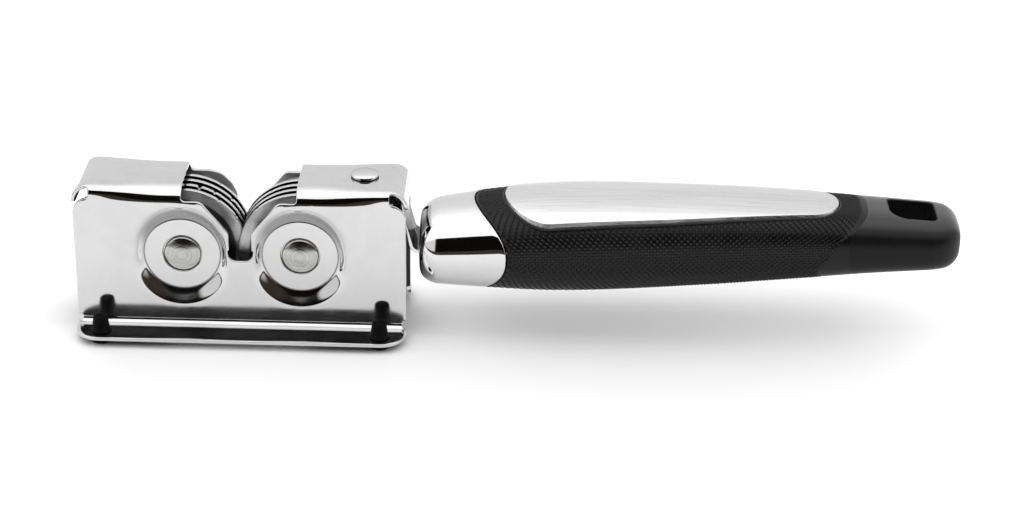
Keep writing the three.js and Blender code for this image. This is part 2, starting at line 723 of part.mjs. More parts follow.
// The handle's own surface, raised or sunk by an amount that changes along it, closed into a solid
function handleSkin(raiseFront, raiseRear) {
  const from = noseX + INLAY_FRONT - INLAY_FIT - SKIN;
  const to = noseX + INLAY_FRONT + INLAY_LENGTH + INLAY_FIT + SKIN;
  return ringSolid(
    evenShares(14).map((share) => () => [
      THREE.MathUtils.lerp(from, to, share),
      -THREE.MathUtils.lerp(raiseFront, raiseRear, share),
    ]),
  );
}

const inlayPrism = (grow) => solidOf(alongZ(inlayOutline(grow), topZ, axleZ));
const inlay = inlayPrism(0)
  .intersect(solidOf(handleSkin(INLAY_PROUD, INLAY_PROUD_REAR)))
  .subtract(solidOf(handleSkin(-INLAY_SUNK, -INLAY_SUNK)));
place("inlay_plate", geometryOf(inlay), brushedSteel);

// Grip: a soft sleeve between the two seam curves, sunk on the crown to take the inlay
const ferruleSeam = (angle) => ferruleEdge(angle) + SEAM;
const sleeve = ringSolid(
  [
    ...ringRow(ferruleSeam, gripEnd, 0, evenShares(16)),
    ...ringRow(gripEnd, ferruleSeam, SKIN, evenShares(8)),
  ],
  true,
);
const pocketFloor = solidOf(handleSkin(-INLAY_SUNK - INLAY_FIT, -INLAY_SUNK - INLAY_FIT));
const pocket = inlayPrism(INLAY_FIT).subtract(pocketFloor);
place("grip_sleeve", geometryOf(solidOf(sleeve).subtract(pocket)), softBlack);

export default sharpener;
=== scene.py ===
import bmesh
import bpy
import numpy as np
from mathutils import Matrix
from mathutils.geometry import delaunay_2d_cdt


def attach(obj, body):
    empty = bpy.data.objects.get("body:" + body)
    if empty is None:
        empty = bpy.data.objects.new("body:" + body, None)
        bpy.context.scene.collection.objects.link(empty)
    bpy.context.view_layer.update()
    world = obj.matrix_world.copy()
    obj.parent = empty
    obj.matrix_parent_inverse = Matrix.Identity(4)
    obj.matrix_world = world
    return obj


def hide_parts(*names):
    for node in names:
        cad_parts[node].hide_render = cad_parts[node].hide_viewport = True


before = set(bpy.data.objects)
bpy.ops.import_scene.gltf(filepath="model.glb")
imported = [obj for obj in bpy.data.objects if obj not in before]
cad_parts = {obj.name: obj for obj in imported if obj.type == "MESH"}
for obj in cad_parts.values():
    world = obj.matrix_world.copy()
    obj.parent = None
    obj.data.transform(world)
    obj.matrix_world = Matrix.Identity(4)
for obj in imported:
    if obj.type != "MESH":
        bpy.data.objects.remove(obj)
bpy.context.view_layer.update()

# Sizes in millimetres; X is measured from the knife slot and moved to the shared frame last.
MM = 0.001
SLOT_AT = np.array([-66.4, 0.0, 0.0])
HALF_LENGTH = 39.8
HALF_DEPTH = 9.85
SHEET = 0.9
TOP_Z = 38.35
AXLE_Z = 20.4
FLANGE_Z = 2.6
FLANGE_EDGE = 18.85
FOLD_LONG = 7.4
FOLD_SHORT = 3.7
BEND_RADIUS = 1.4
FLANGE_CORNER = 6.0
EDGE_ROUND = 0.2
LIP_START = 35.8
LIP_RADIUS = 4.4
LIP_DROP = 5.1
LIP_HALF = 8.85
CORNER_Z = 35.25
NOTCH_HALF = 13.73
AXLE_X = 14.2
SEAT_FLOOR = 9.2
SEAT_DEPTH = 1.8
SEAT_OVAL = 11.0
SEAT_RISE = 1.9
SEAT_LIFT = 0.3
SEAT_SHOULDER = 0.1
AXLE_HOLE = 4.75
AXLE_SAG = 0.22
RIVET_X = 29.4
FOOT_X = 33.6
FOOT_Y = 14.85
NOSE_X = 42.8
NOSE_ROUND = 4.6
NOSE_FACE = 0.66
HANDLE_LENGTH = 129.8
TAIL_X = NOSE_X + HANDLE_LENGTH
STATIONS = np.array([
    [0, 1.2, 11.3, 9.95, 2],
    [0.1, 2.2, 12.9, 11.25, 2.1],
    [0.26, 3.25, 14.3, 11.85, 2.5],
    [0.52, 4.55, 13.4, 10.7, 2.7],
    [0.7, 5.4, 12.3, 9.2, 2.8],
    [0.82, 5.8, 11.5, 7.9, 2.9],
    [1, 6, 10.4, 6.2, 3],
])
SKIN = 1.8
INLAY_FRONT = 20.2
INLAY_LENGTH = 80.5
INLAY_FRONT_HALF = 11.8
INLAY_REAR_HALF = 7.3
INLAY_LEAN = 0.12
FERRULE_TOP = 13.0
FERRULE_SIDE = 21.0
GRIP_TAIL_TOP = 22.5
GRIP_TAIL_SIDE = 27.5
TAIL_ROUND_PLAN = 8
TAIL_ROUND_SIDE = 4
TAIL_FACE = 0.4
HANG_HALF_LENGTH = 5.5
HANG_HALF_WIDTH = 5.2
HANG_FROM_END = 6.1
KNURL_ROUND = 216
KNURL_HEIGHT = 0.42
KNURL_STEP = 0.385
AXLE_HALF = HALF_DEPTH - SEAT_DEPTH - 0.1
AXLE_DOME = 0.7
AXLE_END = 4.45
SEAT_INNER = HALF_DEPTH - SEAT_DEPTH - SHEET
DISC_RADIUS = 15.2
DISC_THICK = 1.1
DISC_STEP = 2.8
DISC_FACETS = 360
FOOT_HOLE = 1.75
RIVET_HOLE = 2.05
RIVET_HEAD = 3.4
RIVET_SHANK = 2.0
RIVET_TAIL = 3.1
STRAP_HALF = 6.5
STRAP_THICK = 1.0
CONTACT_GAP = 0.05


# Small helpers


def smooth(share):
    """Cubic ease from 0 to 1: 3a² - 2a³ on the clamped share."""
    a = np.clip(share, 0, 1)
    return a * a * (3 - 2 * a)


def lerp(a, b, share):
    """Straight mix of two values by a share."""
    return a + (b - a) * share


def unit(vectors):
    """The directions of vectors, each made one long."""
    return vectors / np.maximum(np.linalg.norm(vectors, axis=-1, keepdims=True), 1e-12)


def run_along(points):
    """Length walked from the first point to each point."""
    return np.concatenate([[0], np.cumsum(np.linalg.norm(np.diff(points, axis=0), axis=1))])


def grid_quads(rows, columns, ring=True, loop=False):
    """Corner numbers of the quads of a rows x columns grid of points. ring joins the last column to the
    first, loop joins the last row to the first."""
    i = np.arange(rows if loop else rows - 1)[:, None]
    j = np.arange(columns if ring else columns - 1)[None, :]
    k = (j + 1) % columns
    here, after = i * columns, ((i + 1) % rows) * columns
    return np.stack([here + j, here + k, after + k, after + j], -1).reshape(-1, 4)


def band(first, rows, used, last=None):
    """Quads from a ring of given points through fresh rings, numbered from used on, to a last given
    ring."""
    n = len(first)
    ids = np.concatenate([first, used + np.arange(len(rows) * n), [] if last is None else last]).astype(int)
    return ids[grid_quads(len(ids) // n, n)]


def filleted(corners, arc=8):
    """Polygon through (x, y, radius) corners, each corner replaced by a circular arc of its radius that
    touches both sides."""
    c = np.asarray(corners, float)
    p, r = c[:, :2], c[:, 2]
    u = unit(np.roll(p, 1, 0) - p)
    v = unit(np.roll(p, -1, 0) - p)
    half = np.arccos(np.clip((u * v).sum(1), -1, 1)) / 2
    run = r / np.tan(np.maximum(half, 1e-6))
    middle = p + (u + v) / np.maximum(np.linalg.norm(u + v, axis=1, keepdims=True), 1e-9) * (
        r / np.sin(np.maximum(half, 1e-6)))[:, None]
    start, end = p + u * run[:, None], p + v * run[:, None]
    out = []
    for n in range(len(p)):
        if r[n] < 1e-6:
            out.append(p[n:n + 1])
            continue
        a, b = start[n] - middle[n], end[n] - middle[n]
        turn = np.arctan2(a[0] * b[1] - a[1] * b[0], (a * b).sum())
        t = np.linspace(0, turn, arc + 1)[:, None]
        across = np.array([-a[1], a[0]])
        out.append(middle[n] + np.cos(t) * a + np.sin(t) * across)
    return np.concatenate(out)


def walked(loop, step):
    """Closed polygon with its long sides divided into steps of about the given length."""
    after = np.roll(loop, -1, 0)
    out = []
    for a, b in zip(loop, after):
        n = max(1, int(round(np.linalg.norm(b - a) / step)))
        out.append(a + (b - a) * (np.arange(n) / n)[:, None])
    return np.concatenate(out)


def outward_of(loop):
    """Unit directions to the right of a closed polygon walked anticlockwise: away from what it
    encloses."""
    t = unit(np.roll(loop, -1, 0) - np.roll(loop, 1, 0))
    return np.stack([t[:, 1], -t[:, 0]], -1)


def inside(points, loop):
    """Even-odd test of many points against one polygon: counts the sides that lie to the right of each
    point."""
    x, y = points[:, 0, None], points[:, 1, None]
    ax, ay = loop[:, 0], loop[:, 1]
    bx, by = np.roll(ax, -1), np.roll(ay, -1)
    crosses = (ay > y) != (by > y)
    rise = np.where(by == ay, 1e-12, by - ay)
    return ((x < (bx - ax) * (y - ay) / rise + ax) & crosses).sum(1) % 2 == 1


def distance_to(points, loop):
    """Shortest distance of each point to the sides of a polygon."""
    best = np.full(len(points), 1e9)
    side = np.roll(loop, -1, 0) - loop
    size = np.maximum((side * side).sum(1), 1e-12)
    for part in np.array_split(np.arange(len(points)), max(1, len(points) // 2000)):
        d = points[part][:, None] - loop
        t = np.clip((d * side).sum(-1) / size, 0, 1)
        best[part] = np.linalg.norm(d - t[..., None] * side, axis=-1).min(1)
    return best


def trimmed(outer, holes, fill, clearance):
    """Flat pattern as triangles: fill points well inside the outer loop and outside the holes, joined
    with the loops by a constrained Delaunay triangulation. Loops come first in the points, in their own
    order."""
    keep = inside(fill, outer) & (distance_to(fill, outer) > clearance)
    for hole in holes:
        keep &= ~inside(fill, hole) & (distance_to(fill, hole) > clearance)
    loops = [outer, *holes]
    points = np.concatenate([*loops, fill[keep]])
    edges, first = [], 0
    for loop in loops:
        n = np.arange(len(loop))
        edges.append(np.stack([first + n, first + (n + 1) % len(loop)], -1))
        first += len(loop)
    flat, _, faces, *_ = delaunay_2d_cdt(points.tolist(), np.concatenate(edges).tolist(), [], 0, 1e-7)
    flat = np.array([tuple(p) for p in flat])
    faces = np.array(faces)
    middle = flat[faces].mean(1)
    shown = inside(middle, outer)
    for hole in holes:
        shown &= ~inside(middle, hole)
    return flat, faces[shown]


def make(name, points, faces, look, nodes, body="head", crease=None, notes=None):
    """One piece from millimetre points and lists of faces: doubles welded, faces turned outward, shaded
    smooth (with edges sharper than the crease angle kept), bound to its body and finish, the CAD nodes it
    stands for hidden. notes are per-point values that its material reads."""
    mesh = bpy.data.meshes.new(name)
    corners = np.concatenate([np.asarray(f).ravel() for f in faces]).astype(np.int32)
    sizes = np.concatenate([np.full(len(f), np.asarray(f).shape[1]) for f in faces])
    starts = np.concatenate([[0], np.cumsum(sizes)[:-1]]).astype(np.int32)
    mesh.vertices.add(len(points))
    mesh.vertices.foreach_set("co", ((points + SLOT_AT) * MM).astype(np.float32).ravel())
    mesh.loops.add(len(corners))
    mesh.loops.foreach_set("vertex_index", corners)
    mesh.polygons.add(len(sizes))
    mesh.polygons.foreach_set("loop_start", starts)
    mesh.update(calc_edges=True)
    for key, values in (notes or {}).items():
        layer = mesh.attributes.new(key, "FLOAT", "POINT")
        layer.data.foreach_set("value", np.asarray(values, np.float32).ravel())
    work = bmesh.new()
    work.from_mesh(mesh)
    bmesh.ops.remove_doubles(work, verts=work.verts, dist=2e-6)
    bmesh.ops.recalc_face_normals(work, faces=work.faces)
    work.to_mesh(mesh)
    work.free()
    mesh.shade_smooth()
    if crease:
        mesh.set_sharp_from_angle(angle=np.radians(crease))
    mesh.materials.append(look)
    thing = bpy.data.objects.new(name, mesh)
    bpy.context.scene.collection.objects.link(thing)
    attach(thing, body)
    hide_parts(*nodes)
    return thing


def turned(profile, facets, centre, upright, sway=None):
    """Surface of revolution: each (radius, along) pair of the profile is a ring round the axis through
    centre. upright turns round Z, otherwise round Y. sway(radius, angle) may change the radius round a
    ring."""
    radius, along = np.asarray(profile, float).T
    angle = np.linspace(0, 2 * np.pi, facets, endpoint=False)[None, :]
    r = radius[:, None] + 0 * angle
    if sway is not None:
        r = sway(r, angle)
    h = along[:, None] + 0 * angle
    a, b = r * np.cos(angle), r * np.sin(angle)
    points = np.stack([a, b, h] if upright else [a, h, b], -1).reshape(-1, 3) + centre
    return points, r.ravel(), (0 * r + angle).ravel()


# Materials


def linked(tree, value, socket):
    """Feeds a socket from another one, or sets it to a plain value."""
    if isinstance(value, bpy.types.NodeSocket):
        tree.links.new(value, socket)
    else:
        socket.default_value = value


def math_node(tree, operation, *values):
    """Math node whose inputs are sockets or plain numbers; returns its output."""
    node = tree.nodes.new("ShaderNodeMath")
    node.operation = operation
    for value, socket in zip(values, node.inputs):
        linked(tree, value, socket)
    return node.outputs[0]


def scaled(tree, value, factor, plus=0.0):
    """A value times a factor, plus a rest; each is a socket or a number."""
    return math_node(tree, "MULTIPLY_ADD", value, factor, plus)


def spread(tree, value, low, high, to_low, to_high):
    """Smooth map of a value from one range to another, held at both ends."""
    node = tree.nodes.new("ShaderNodeMapRange")
    node.interpolation_type = "SMOOTHSTEP"
    words = ("Value", "From Min", "From Max", "To Min", "To Max")
    for word, part in zip(words, (value, low, high, to_low, to_high)):
        linked(tree, part, node.inputs[word])
    return node.outputs["Result"]


def noise(tree, vector, scale, detail, roughness=0.5):
    """Noise texture read at a vector; returns its value."""
    node = tree.nodes.new("ShaderNodeTexNoise")
    node.inputs["Detail"].default_value = detail
    node.inputs["Roughness"].default_value = roughness
    tree.links.new(vector, node.inputs["Vector"])
    tree.links.new(scale, node.inputs["Scale"])
    return node.outputs["Fac"]


def group(name, result, **inputs):
    """Empty shader node group: one named output, and named inputs that are numbers or vectors as their
    defaults are. Returns its tree, its inputs and the socket that takes the result."""
    tree = bpy.data.node_groups.new(name, "ShaderNodeTree")
    for word, value in inputs.items():
        kind = "NodeSocketFloat" if isinstance(value, float) else "NodeSocketVector"
        tree.interface.new_socket(word, in_out="INPUT", socket_type=kind).default_value = value
    tree.interface.new_socket(result, in_out="OUTPUT", socket_type="NodeSocketFloat")
    given = tree.nodes.new("NodeGroupInput").outputs
    return tree, [given[word] for word in inputs], tree.nodes.new("NodeGroupOutput").inputs[result]


def cloudy_group():
    """Cloudiness: two noises of different size mixed, for smudges, patches of gloss and mottled
    colour."""
    tree, (vector, size), made = group("cloudiness", "Value", Vector=(0, 0, 0), Size=60.0)
    big = noise(tree, vector, size, 3)
    fine = noise(tree, vector, scaled(tree, size, 5.3), 4)
    both = scaled(tree, fine, 0.35, scaled(tree, big, 0.65))
    tree.links.new(spread(tree, both, 0.36, 0.64, 0.0, 1.0), made)
    return tree


def hairline_group():
    """Hairlines: noise drawn out along X, Y or Z by a stretch vector, as brushing and fine handling
    scratches."""
    tree, (vector, stretch, size), made = group(
        "hairlines", "Value", Vector=(0, 0, 0), Stretch=(1, 1, 1), Size=900.0)
    pull = tree.nodes.new("ShaderNodeVectorMath")
    pull.operation = "MULTIPLY"
    tree.links.new(vector, pull.inputs[0])
    tree.links.new(stretch, pull.inputs[1])
    value = noise(tree, pull.outputs["Vector"], size, 5, 0.7)
    tree.links.new(spread(tree, value, 0.3, 0.7, 0.0, 1.0), made)
    return tree


def turning_group():
    """Turning marks: noise read only along the distance from the axle, so that it makes rings."""
    tree, (radius, pitch), made = group("turning_marks", "Value", Radius=0.0, Pitch=5.0)
    rings = tree.nodes.new("ShaderNodeTexNoise")
    rings.noise_dimensions = "1D"
    rings.inputs["Detail"].default_value = 4
    tree.links.new(radius, rings.inputs["W"])
    tree.links.new(pitch, rings.inputs["Scale"])
    tree.links.new(spread(tree, rings.outputs["Fac"], 0.3, 0.7, 0.0, 1.0), made)
    return tree


def grain_group():
    """Moulded grain: fine cells of two sizes added, as the matt texture of a mould."""
    tree, (vector, size), made = group("moulded_grain", "Height", Vector=(0, 0, 0), Size=3000.0)
    cells = tree.nodes.new("ShaderNodeTexVoronoi")
    tree.links.new(vector, cells.inputs["Vector"])
    tree.links.new(scaled(tree, size, 0.6), cells.inputs["Scale"])
    fine = noise(tree, vector, size, 2)
    tree.links.new(scaled(tree, cells.outputs["Distance"], 0.5, fine), made)
    return tree


CLOUDY, HAIRLINES, TURNING, GRAIN = cloudy_group(), hairline_group(), turning_group(), grain_group()


def place_group(tree, kind, vector=None, **values):
    """A shared node group in a material with its own values; returns its output."""
    node = tree.nodes.new("ShaderNodeGroup")
    node.node_tree = kind
    if vector is not None:
        values["Vector"] = vector
    for word, value in values.items():
        linked(tree, value, node.inputs[word])
    return node.outputs[0]


def finish(name, metallic, **fixed):
    """New material with a Principled shader; returns the material, its tree, its shader and Object
    coordinates."""
    material = bpy.data.materials.new(name)
    material.use_nodes = True
    tree = material.node_tree
    shader = tree.nodes["Principled BSDF"]
    shader.inputs["Metallic"].default_value = metallic
    for word, value in fixed.items():
        shader.inputs[word.replace("_", " ")].default_value = value
    where = tree.nodes.new("ShaderNodeTexCoord").outputs["Object"]
    return material, tree, shader, where


def mixed(tree, mask, first, second):
    """Colour between two others by a mask; each is a socket, a colour or a grey."""
    mix = tree.nodes.new("ShaderNodeMix")
    mix.data_type = "RGBA"
    tree.links.new(mask, mix.inputs["Factor"])
    for word, colour in (("A", first), ("B", second)):
        if not isinstance(colour, bpy.types.NodeSocket):
            colour = (*np.broadcast_to(colour, 3), 1)
        linked(tree, colour, mix.inputs[word])
    return mix.outputs["Result"]


def tint(tree, shader, mask, dark, light):
    """Base colour between two colours or greys by a mask."""
    tree.links.new(mixed(tree, mask, dark, light), shader.inputs["Base Color"])


def raised(tree, shader, height, depth, strength=1.0):
    """Bump of the given depth in metres."""
    bump = tree.nodes.new("ShaderNodeBump")
    bump.inputs["Strength"].default_value = strength
    bump.inputs["Distance"].default_value = depth
    tree.links.new(height, bump.inputs["Height"])
    tree.links.new(bump.outputs["Normal"], shader.inputs["Normal"])


def note(tree, key):
    """A per-point value of the piece."""
    node = tree.nodes.new("ShaderNodeAttribute")
    node.attribute_name = key
    return node.outputs["Fac"]


def mottled(name, metallic, size, dark, light, rough, grain=None, **fixed):
    """Finish whose colour and roughness wander between two values with a cloudiness of the given size,
    over a moulded grain of a size, depth and strength where it has one; returns material, tree and
    shader."""
    material, tree, shader, where = finish(name, metallic, **fixed)
    cloud = place_group(tree, CLOUDY, where, Size=size)
    tint(tree, shader, cloud, dark, light)
    tree.links.new(spread(tree, cloud, 0.0, 1.0, *rough), shader.inputs["Roughness"])
    if grain:
        raised(tree, shader, place_group(tree, GRAIN, where, Size=grain[0]), *grain[1:])
    return material, tree, shader


def chrome_sheet():
    """Bright plated sheet: faint cloudy gloss, hairline handling marks; painted shade, with more roughness,
    on the seats' upper walls, along their coined lines and on its inner side; satin near the flange."""
    material, tree, shader, where = finish("chrome_sheet", 1.0)
    cloud = place_group(tree, CLOUDY, where, Size=70.0)
    lines = place_group(tree, HAIRLINES, where, Stretch=(0.08, 1.0, 1.0), Size=1400.0)
    dull_and_painted_shade = note(tree, "dull_and_painted_shade")
    # Painted shade: a per-point note darkens the colour on the seats' upper walls, along their coined lines
    # and on the inner side, and adds roughness there.
    tone_with_painted_shade = scaled(tree, spread(tree, cloud, 0.0, 1.0, 0.95, 1.0), scaled(tree, dull_and_painted_shade, -0.93, 1.0))
    tint(tree, shader, tone_with_painted_shade, 0.02, 0.645)
    gloss = scaled(tree, lines, 0.03, spread(tree, cloud, 0.0, 1.0, 0.045, 0.075))
    gloss = scaled(tree, dull_and_painted_shade, 0.3, gloss)
    gloss = scaled(tree, note(tree, "satin"), 0.08, gloss)
    tree.links.new(gloss, shader.inputs["Roughness"])
    raised(tree, shader, lines, 0.0000012, 0.35)
    return material


def strap_steel():
    """Plated strip, rolled along its length; painted shade of the head's inside darkens it except on its
    rounded edges, high up towards the back, and on the rivet's dome.
    """
    material, tree, shader, where = finish("strap_steel", 1.0, Specular_Tint=(0.6, 0.6, 0.6, 1.0))
    lines = place_group(tree, HAIRLINES, where, Stretch=(0.2, 1.0, 0.2), Size=900.0)
    cloud = place_group(tree, CLOUDY, where, Size=140.0)
    # Painted shade: the colour is darkened as the inside of the head, except on the edges and where the note
    # lifts it.
    bright = math_node(tree, "MAXIMUM", note(tree, "edge"), scaled(tree, cloud, 0.2))
    tint(tree, shader, bright, (0.14, 0.14, 0.142), 0.7)
    tree.links.new(spread(tree, lines, 0.0, 1.0, 0.12, 0.24), shader.inputs["Roughness"])
    raised(tree, shader, lines, 0.000003, 0.4)
    return material


def axle_steel():
    """Turned steel with fine rings and a little grime."""
    material, tree, shader, where = finish("axle_steel", 1.0)
    rings = place_group(tree, TURNING, Radius=note(tree, "radius"), Pitch=2.4)
    cloud = place_group(tree, CLOUDY, where, Size=380.0)
    both = scaled(tree, rings, 0.6, scaled(tree, cloud, 0.4))
    tint(tree, shader, both, (0.34, 0.34, 0.335), (0.6, 0.6, 0.595))
    tree.links.new(spread(tree, cloud, 0.0, 1.0, 0.14, 0.2), shader.inputs["Roughness"])
    raised(tree, shader, rings, 0.000014, 0.6)
    return material


def disc_steel():
    """Hardened disc: faces dark inside and ground satin towards the rim, the rim ground bright."""
    material, tree, shader, where = finish("disc_steel", 1.0)
    radius = note(tree, "radius")
    rings = place_group(tree, TURNING, Radius=radius, Pitch=6.0)
    cloud = place_group(tree, CLOUDY, where, Size=300.0)
    rim = spread(tree, radius, 15.02, 15.14, 0.0, 1.0)
    body = scaled(tree, rings, 0.35, scaled(tree, cloud, 0.35, 0.5))
    body = scaled(tree, body, spread(tree, radius, 12.2, 12.9, 0.12, 1.0))
    # Painted shade with some grime between the discs: a per-point note blackens the faces that look at
    # another disc.
    tone_with_painted_shade = scaled(tree, math_node(tree, "MAXIMUM", rim, body), scaled(tree, note(tree, "black"), -1.0, 1.0))
    tint(tree, shader, tone_with_painted_shade, 0.012, 0.64)
    rough = scaled(tree, rim, -0.1, spread(tree, cloud, 0.0, 1.0, 0.34, 0.42))
    tree.links.new(rough, shader.inputs["Roughness"])
    raised(tree, shader, rings, 0.00001, 0.4)
    return material


def brushed_inlay():
    """Brushed steel, the brushing along the handle."""
    material, tree, shader, where = finish("brushed_inlay", 1.0)
    lines = place_group(tree, HAIRLINES, where, Stretch=(0.018, 1.0, 0.35), Size=2600.0)
    broad = place_group(tree, HAIRLINES, where, Stretch=(0.03, 1.0, 0.3), Size=420.0)
    both = scaled(tree, lines, 0.6, scaled(tree, broad, 0.4))
    tint(tree, shader, both, 0.61, 0.76)
    tree.links.new(spread(tree, both, 0.2, 0.8, 0.26, 0.4), shader.inputs["Roughness"])
    raised(tree, shader, lines, 0.000004, 0.5)
    return material


def hard_core():
    """Hard black moulding of the tail: fine matt grain, its upper face handled to a soft sheen."""
    material, tree, shader = mottled(
        "hard_core", 0.0, 90.0, (0.004, 0.004, 0.0042), (0.006, 0.006, 0.0062), (0.36, 0.42),
        (4200.0, 0.00003, 0.7), Specular_IOR_Level=0.2, Coat_Roughness=0.36)
    sheen = scaled(tree, note(tree, "upper"), 0.8)
    tree.links.new(sheen, shader.inputs["Coat Weight"])
    return material


CHROME, STRAP, AXLE = chrome_sheet(), strap_steel(), axle_steel()
DISC, INLAY, CORE = disc_steel(), brushed_inlay(), hard_core()

# Mirror plating of the moulded ferrule; rings between the discs, dark with painted shade between the discs
# and some grime; soft black grip, matt with a fine grain under its knurling; black rubber with a dull bloom.
CUP, _, _ = mottled("polished_cup", 1.0, 110.0, 0.67, 0.7, (0.03, 0.06))
GRIME_AND_SHADE, _, _ = mottled("grimy_shaded_steel", 1.0, 420.0, 0.015, (0.05, 0.05, 0.048), (0.5, 0.62))
GRIP, _, _ = mottled(
    "soft_grip", 0.0, 120.0, (0.002, 0.002, 0.0021), (0.004, 0.004, 0.0042), (0.3, 0.38),
    (9000.0, 0.00001, 0.35), Specular_IOR_Level=0.27)
FOOT, _, _ = mottled(
    "foot_rubber", 0.0, 500.0, 0.0008, 0.002, (0.48, 0.62), (5000.0, 0.00001, 0.4), Specular_IOR_Level=0.08)


# Folded sheet head


def eased_turn(share):
    """Share of a bend's turn done at a share of its length: a circular arc softened at both ends."""
    return lerp(np.clip(share, 0, 1), smooth(share), 0.12)


def fold_turn(share):
    """Share of the fold's turn done at a share of its length: slow on the top, quick where the plate
    begins."""
    return np.clip(share, 0, 1) ** 1.3


def section_table(length):
    """Outer face of the folded sheet from the middle of the top out to the flange edge, for one length of
    fold: the tangent angle turns down through a quarter at the fold and back up at the flange bend, and
    the place is its integral. A shorter fold takes up the same stretch of the table, so that the plates
    agree."""
    t = np.linspace(0, 1, 4001)
    reach = np.cos(eased_turn(t) * np.pi / 2).mean()
    across, down = np.cos(fold_turn(t) * np.pi / 2).mean(), np.sin(fold_turn(t) * np.pi / 2).mean()
    bend = BEND_RADIUS / reach
    plate = TOP_Z - FOLD_LONG * down - FLANGE_Z - BEND_RADIUS
    flange = FLANGE_EDGE - HALF_DEPTH - BEND_RADIUS
    ends = np.cumsum([HALF_DEPTH - FOLD_LONG * across, FOLD_LONG, plate, bend, flange])
    s = np.linspace(0, ends[-1], 12001)
    before, after = (FOLD_LONG - length) * across, (FOLD_LONG - length) * down
    pace = (before + length + after) / FOLD_LONG
    turn = fold_turn(((s - ends[0]) * pace - before) / length) - eased_turn((s - ends[2]) / bend)
    angle = -np.pi / 2 * turn
    step = np.where((s > ends[0]) & (s < ends[1]), pace, 1.0) * (s[1] - s[0])
    y = np.concatenate([[0], np.cumsum((np.cos(angle) * step)[1:])])
    z = TOP_Z + np.concatenate([[0], np.cumsum((np.sin(angle) * step)[1:])])
    return s, y, z, ends


SECTION_S, WIDE_Y, WIDE_Z, SECTION_ENDS = section_table(FOLD_LONG)
_, TIGHT_Y, TIGHT_Z, _ = section_table(FOLD_SHORT)
S_FLANGE = SECTION_ENDS[-1]
BENT = SECTION_S < SECTION_ENDS[3]


def fold_share(x):
    """How far the fold has tightened: 0 at the notch to 1 at the head's ends."""
    return smooth((np.abs(x) - 18) / (HALF_LENGTH - 18))


def s_at_height(z, x):
    """Distance along the section at which the outer face has the given height, on the fold, plate or
    bend."""
    return float(np.interp(-z, -lerp(WIDE_Z, TIGHT_Z, fold_share(x))[BENT], SECTION_S[BENT]))


S_AXLE = s_at_height(AXLE_Z, AXLE_X)
S_LIP = float(np.interp(LIP_HALF, TIGHT_Y[:4000], SECTION_S[:4000]))
S_CORNER = s_at_height(CORNER_Z, HALF_LENGTH)
S_FOOT = S_FLANGE - (FLANGE_EDGE - FOOT_Y)


def seat_gaps(x, s):
    """Distances of a point of the flat pattern from its seat's floor circle and from the upright oval
    where the seat starts in the plate, both below zero inside."""
    across, down = np.abs(x) - AXLE_X, np.abs(s) - S_AXLE
    beyond = np.maximum(np.abs(down + SEAT_LIFT) - SEAT_RISE, 0)
    return np.hypot(across, down) - SEAT_FLOOR, np.hypot(across, beyond) - SEAT_OVAL


def seat_depth(x, s):
    """Pressed seat: a flat round floor with a coined line, then a wall that leaves it in an eased curve
    and runs straight to the oval, its shoulder rounded as k log(1 + e^q), q being the wall's depth in
    lengths k; k is longer at the two sides, where the wall is narrow."""
    inner, outer = seat_gaps(x, s)
    sideways = (np.abs(x) - AXLE_X) / (inner + SEAT_FLOOR + 0.01)
    k = SEAT_SHOULDER * lerp(1.0, 4.5, sideways ** 2)
    share = np.maximum(inner, 0) / np.maximum(inner - outer, 0.5)
    start = np.clip(share / 0.35, 0, 1)
    climb = np.where(share < 0.35, 0.35 * (start ** 3 - start ** 4 / 2), share - 0.175) / 0.825
    wall = SEAT_DEPTH * (1 - climb)
    return k * np.logaddexp(0, wall / k) + 0.08 * np.exp(-(inner / 0.12) ** 2)


def pressed_place(x, s):
    """Place of a point of the flat pattern once folded: the section curve, its fold tightening towards
    the ends, rolled down at the two end lips."""
    side, face = np.sign(x), np.sign(s)
    tight = fold_share(x)
    wide_y, tight_y, wide_z, tight_z = (
        np.interp(np.abs(s), SECTION_S, column) for column in (WIDE_Y, TIGHT_Y, WIDE_Z, TIGHT_Z))
    y = face * lerp(wide_y, tight_y, tight)
    z = lerp(wide_z, tight_z, tight)
    over = np.where(np.abs(s) < (S_LIP + S_CORNER) / 2, np.maximum(np.abs(x) - LIP_START, 0), 0)
    roll = np.clip(over / LIP_RADIUS, 0, np.pi / 2)
    run = over - roll * LIP_RADIUS
    level = TOP_Z - (TOP_Z - z) * (1 - 0.75 * smooth(roll / (np.pi / 2)))
    rolled = side * (LIP_START + LIP_RADIUS * np.sin(roll))
    return np.stack([
        np.where(over > 0, rolled, x), y,
        np.where(over > 0, level - LIP_RADIUS * (1 - np.cos(roll)) - run, z)], -1)


def tangents(place, x, s, step):
    """Changes of a place along and across the flat pattern, by differences."""
    return place(x + step, s) - place(x - step, s), place(x, s + step) - place(x, s - step)


def pressed_normal(x, s):
    """Outward direction of the folded sheet, square to its tangents."""
    return unit(np.cross(*tangents(pressed_place, x, s, 0.02)))


def sheet_place(x, s):
    """Folded sheet with its pressed seats and the slight unevenness that folding and pressing leave."""
    sink = np.where(np.abs(s) > S_AXLE / 2, seat_depth(x, s), 0)
    plate = smooth((np.abs(s) - 8) / 10) * smooth((S_FLANGE - 4 - np.abs(s)) / 8)
    sink = sink + plate * 0.035 * np.sin(0.21 * x + 0.6) * np.cos(0.17 * s)
    return pressed_place(x, s) - pressed_normal(x, s) * sink[..., None]


def sheet_frame(x, s):
    """Place and the two unit tangents of the finished sheet."""
    along, across = tangents(sheet_place, x, s, 0.03)
    return sheet_place(x, s), unit(along), unit(across)


def mirrored_loop(quarter):
    """Closed loop from its quarter with x > 0 and s < 0, walked from the x axis end to the s axis end or
    back."""
    q = np.asarray(quarter, float)
    return np.concatenate([q, (q * [-1, 1, 1])[::-1], q * [-1, -1, 1], (q * [1, -1, 1])[::-1]])


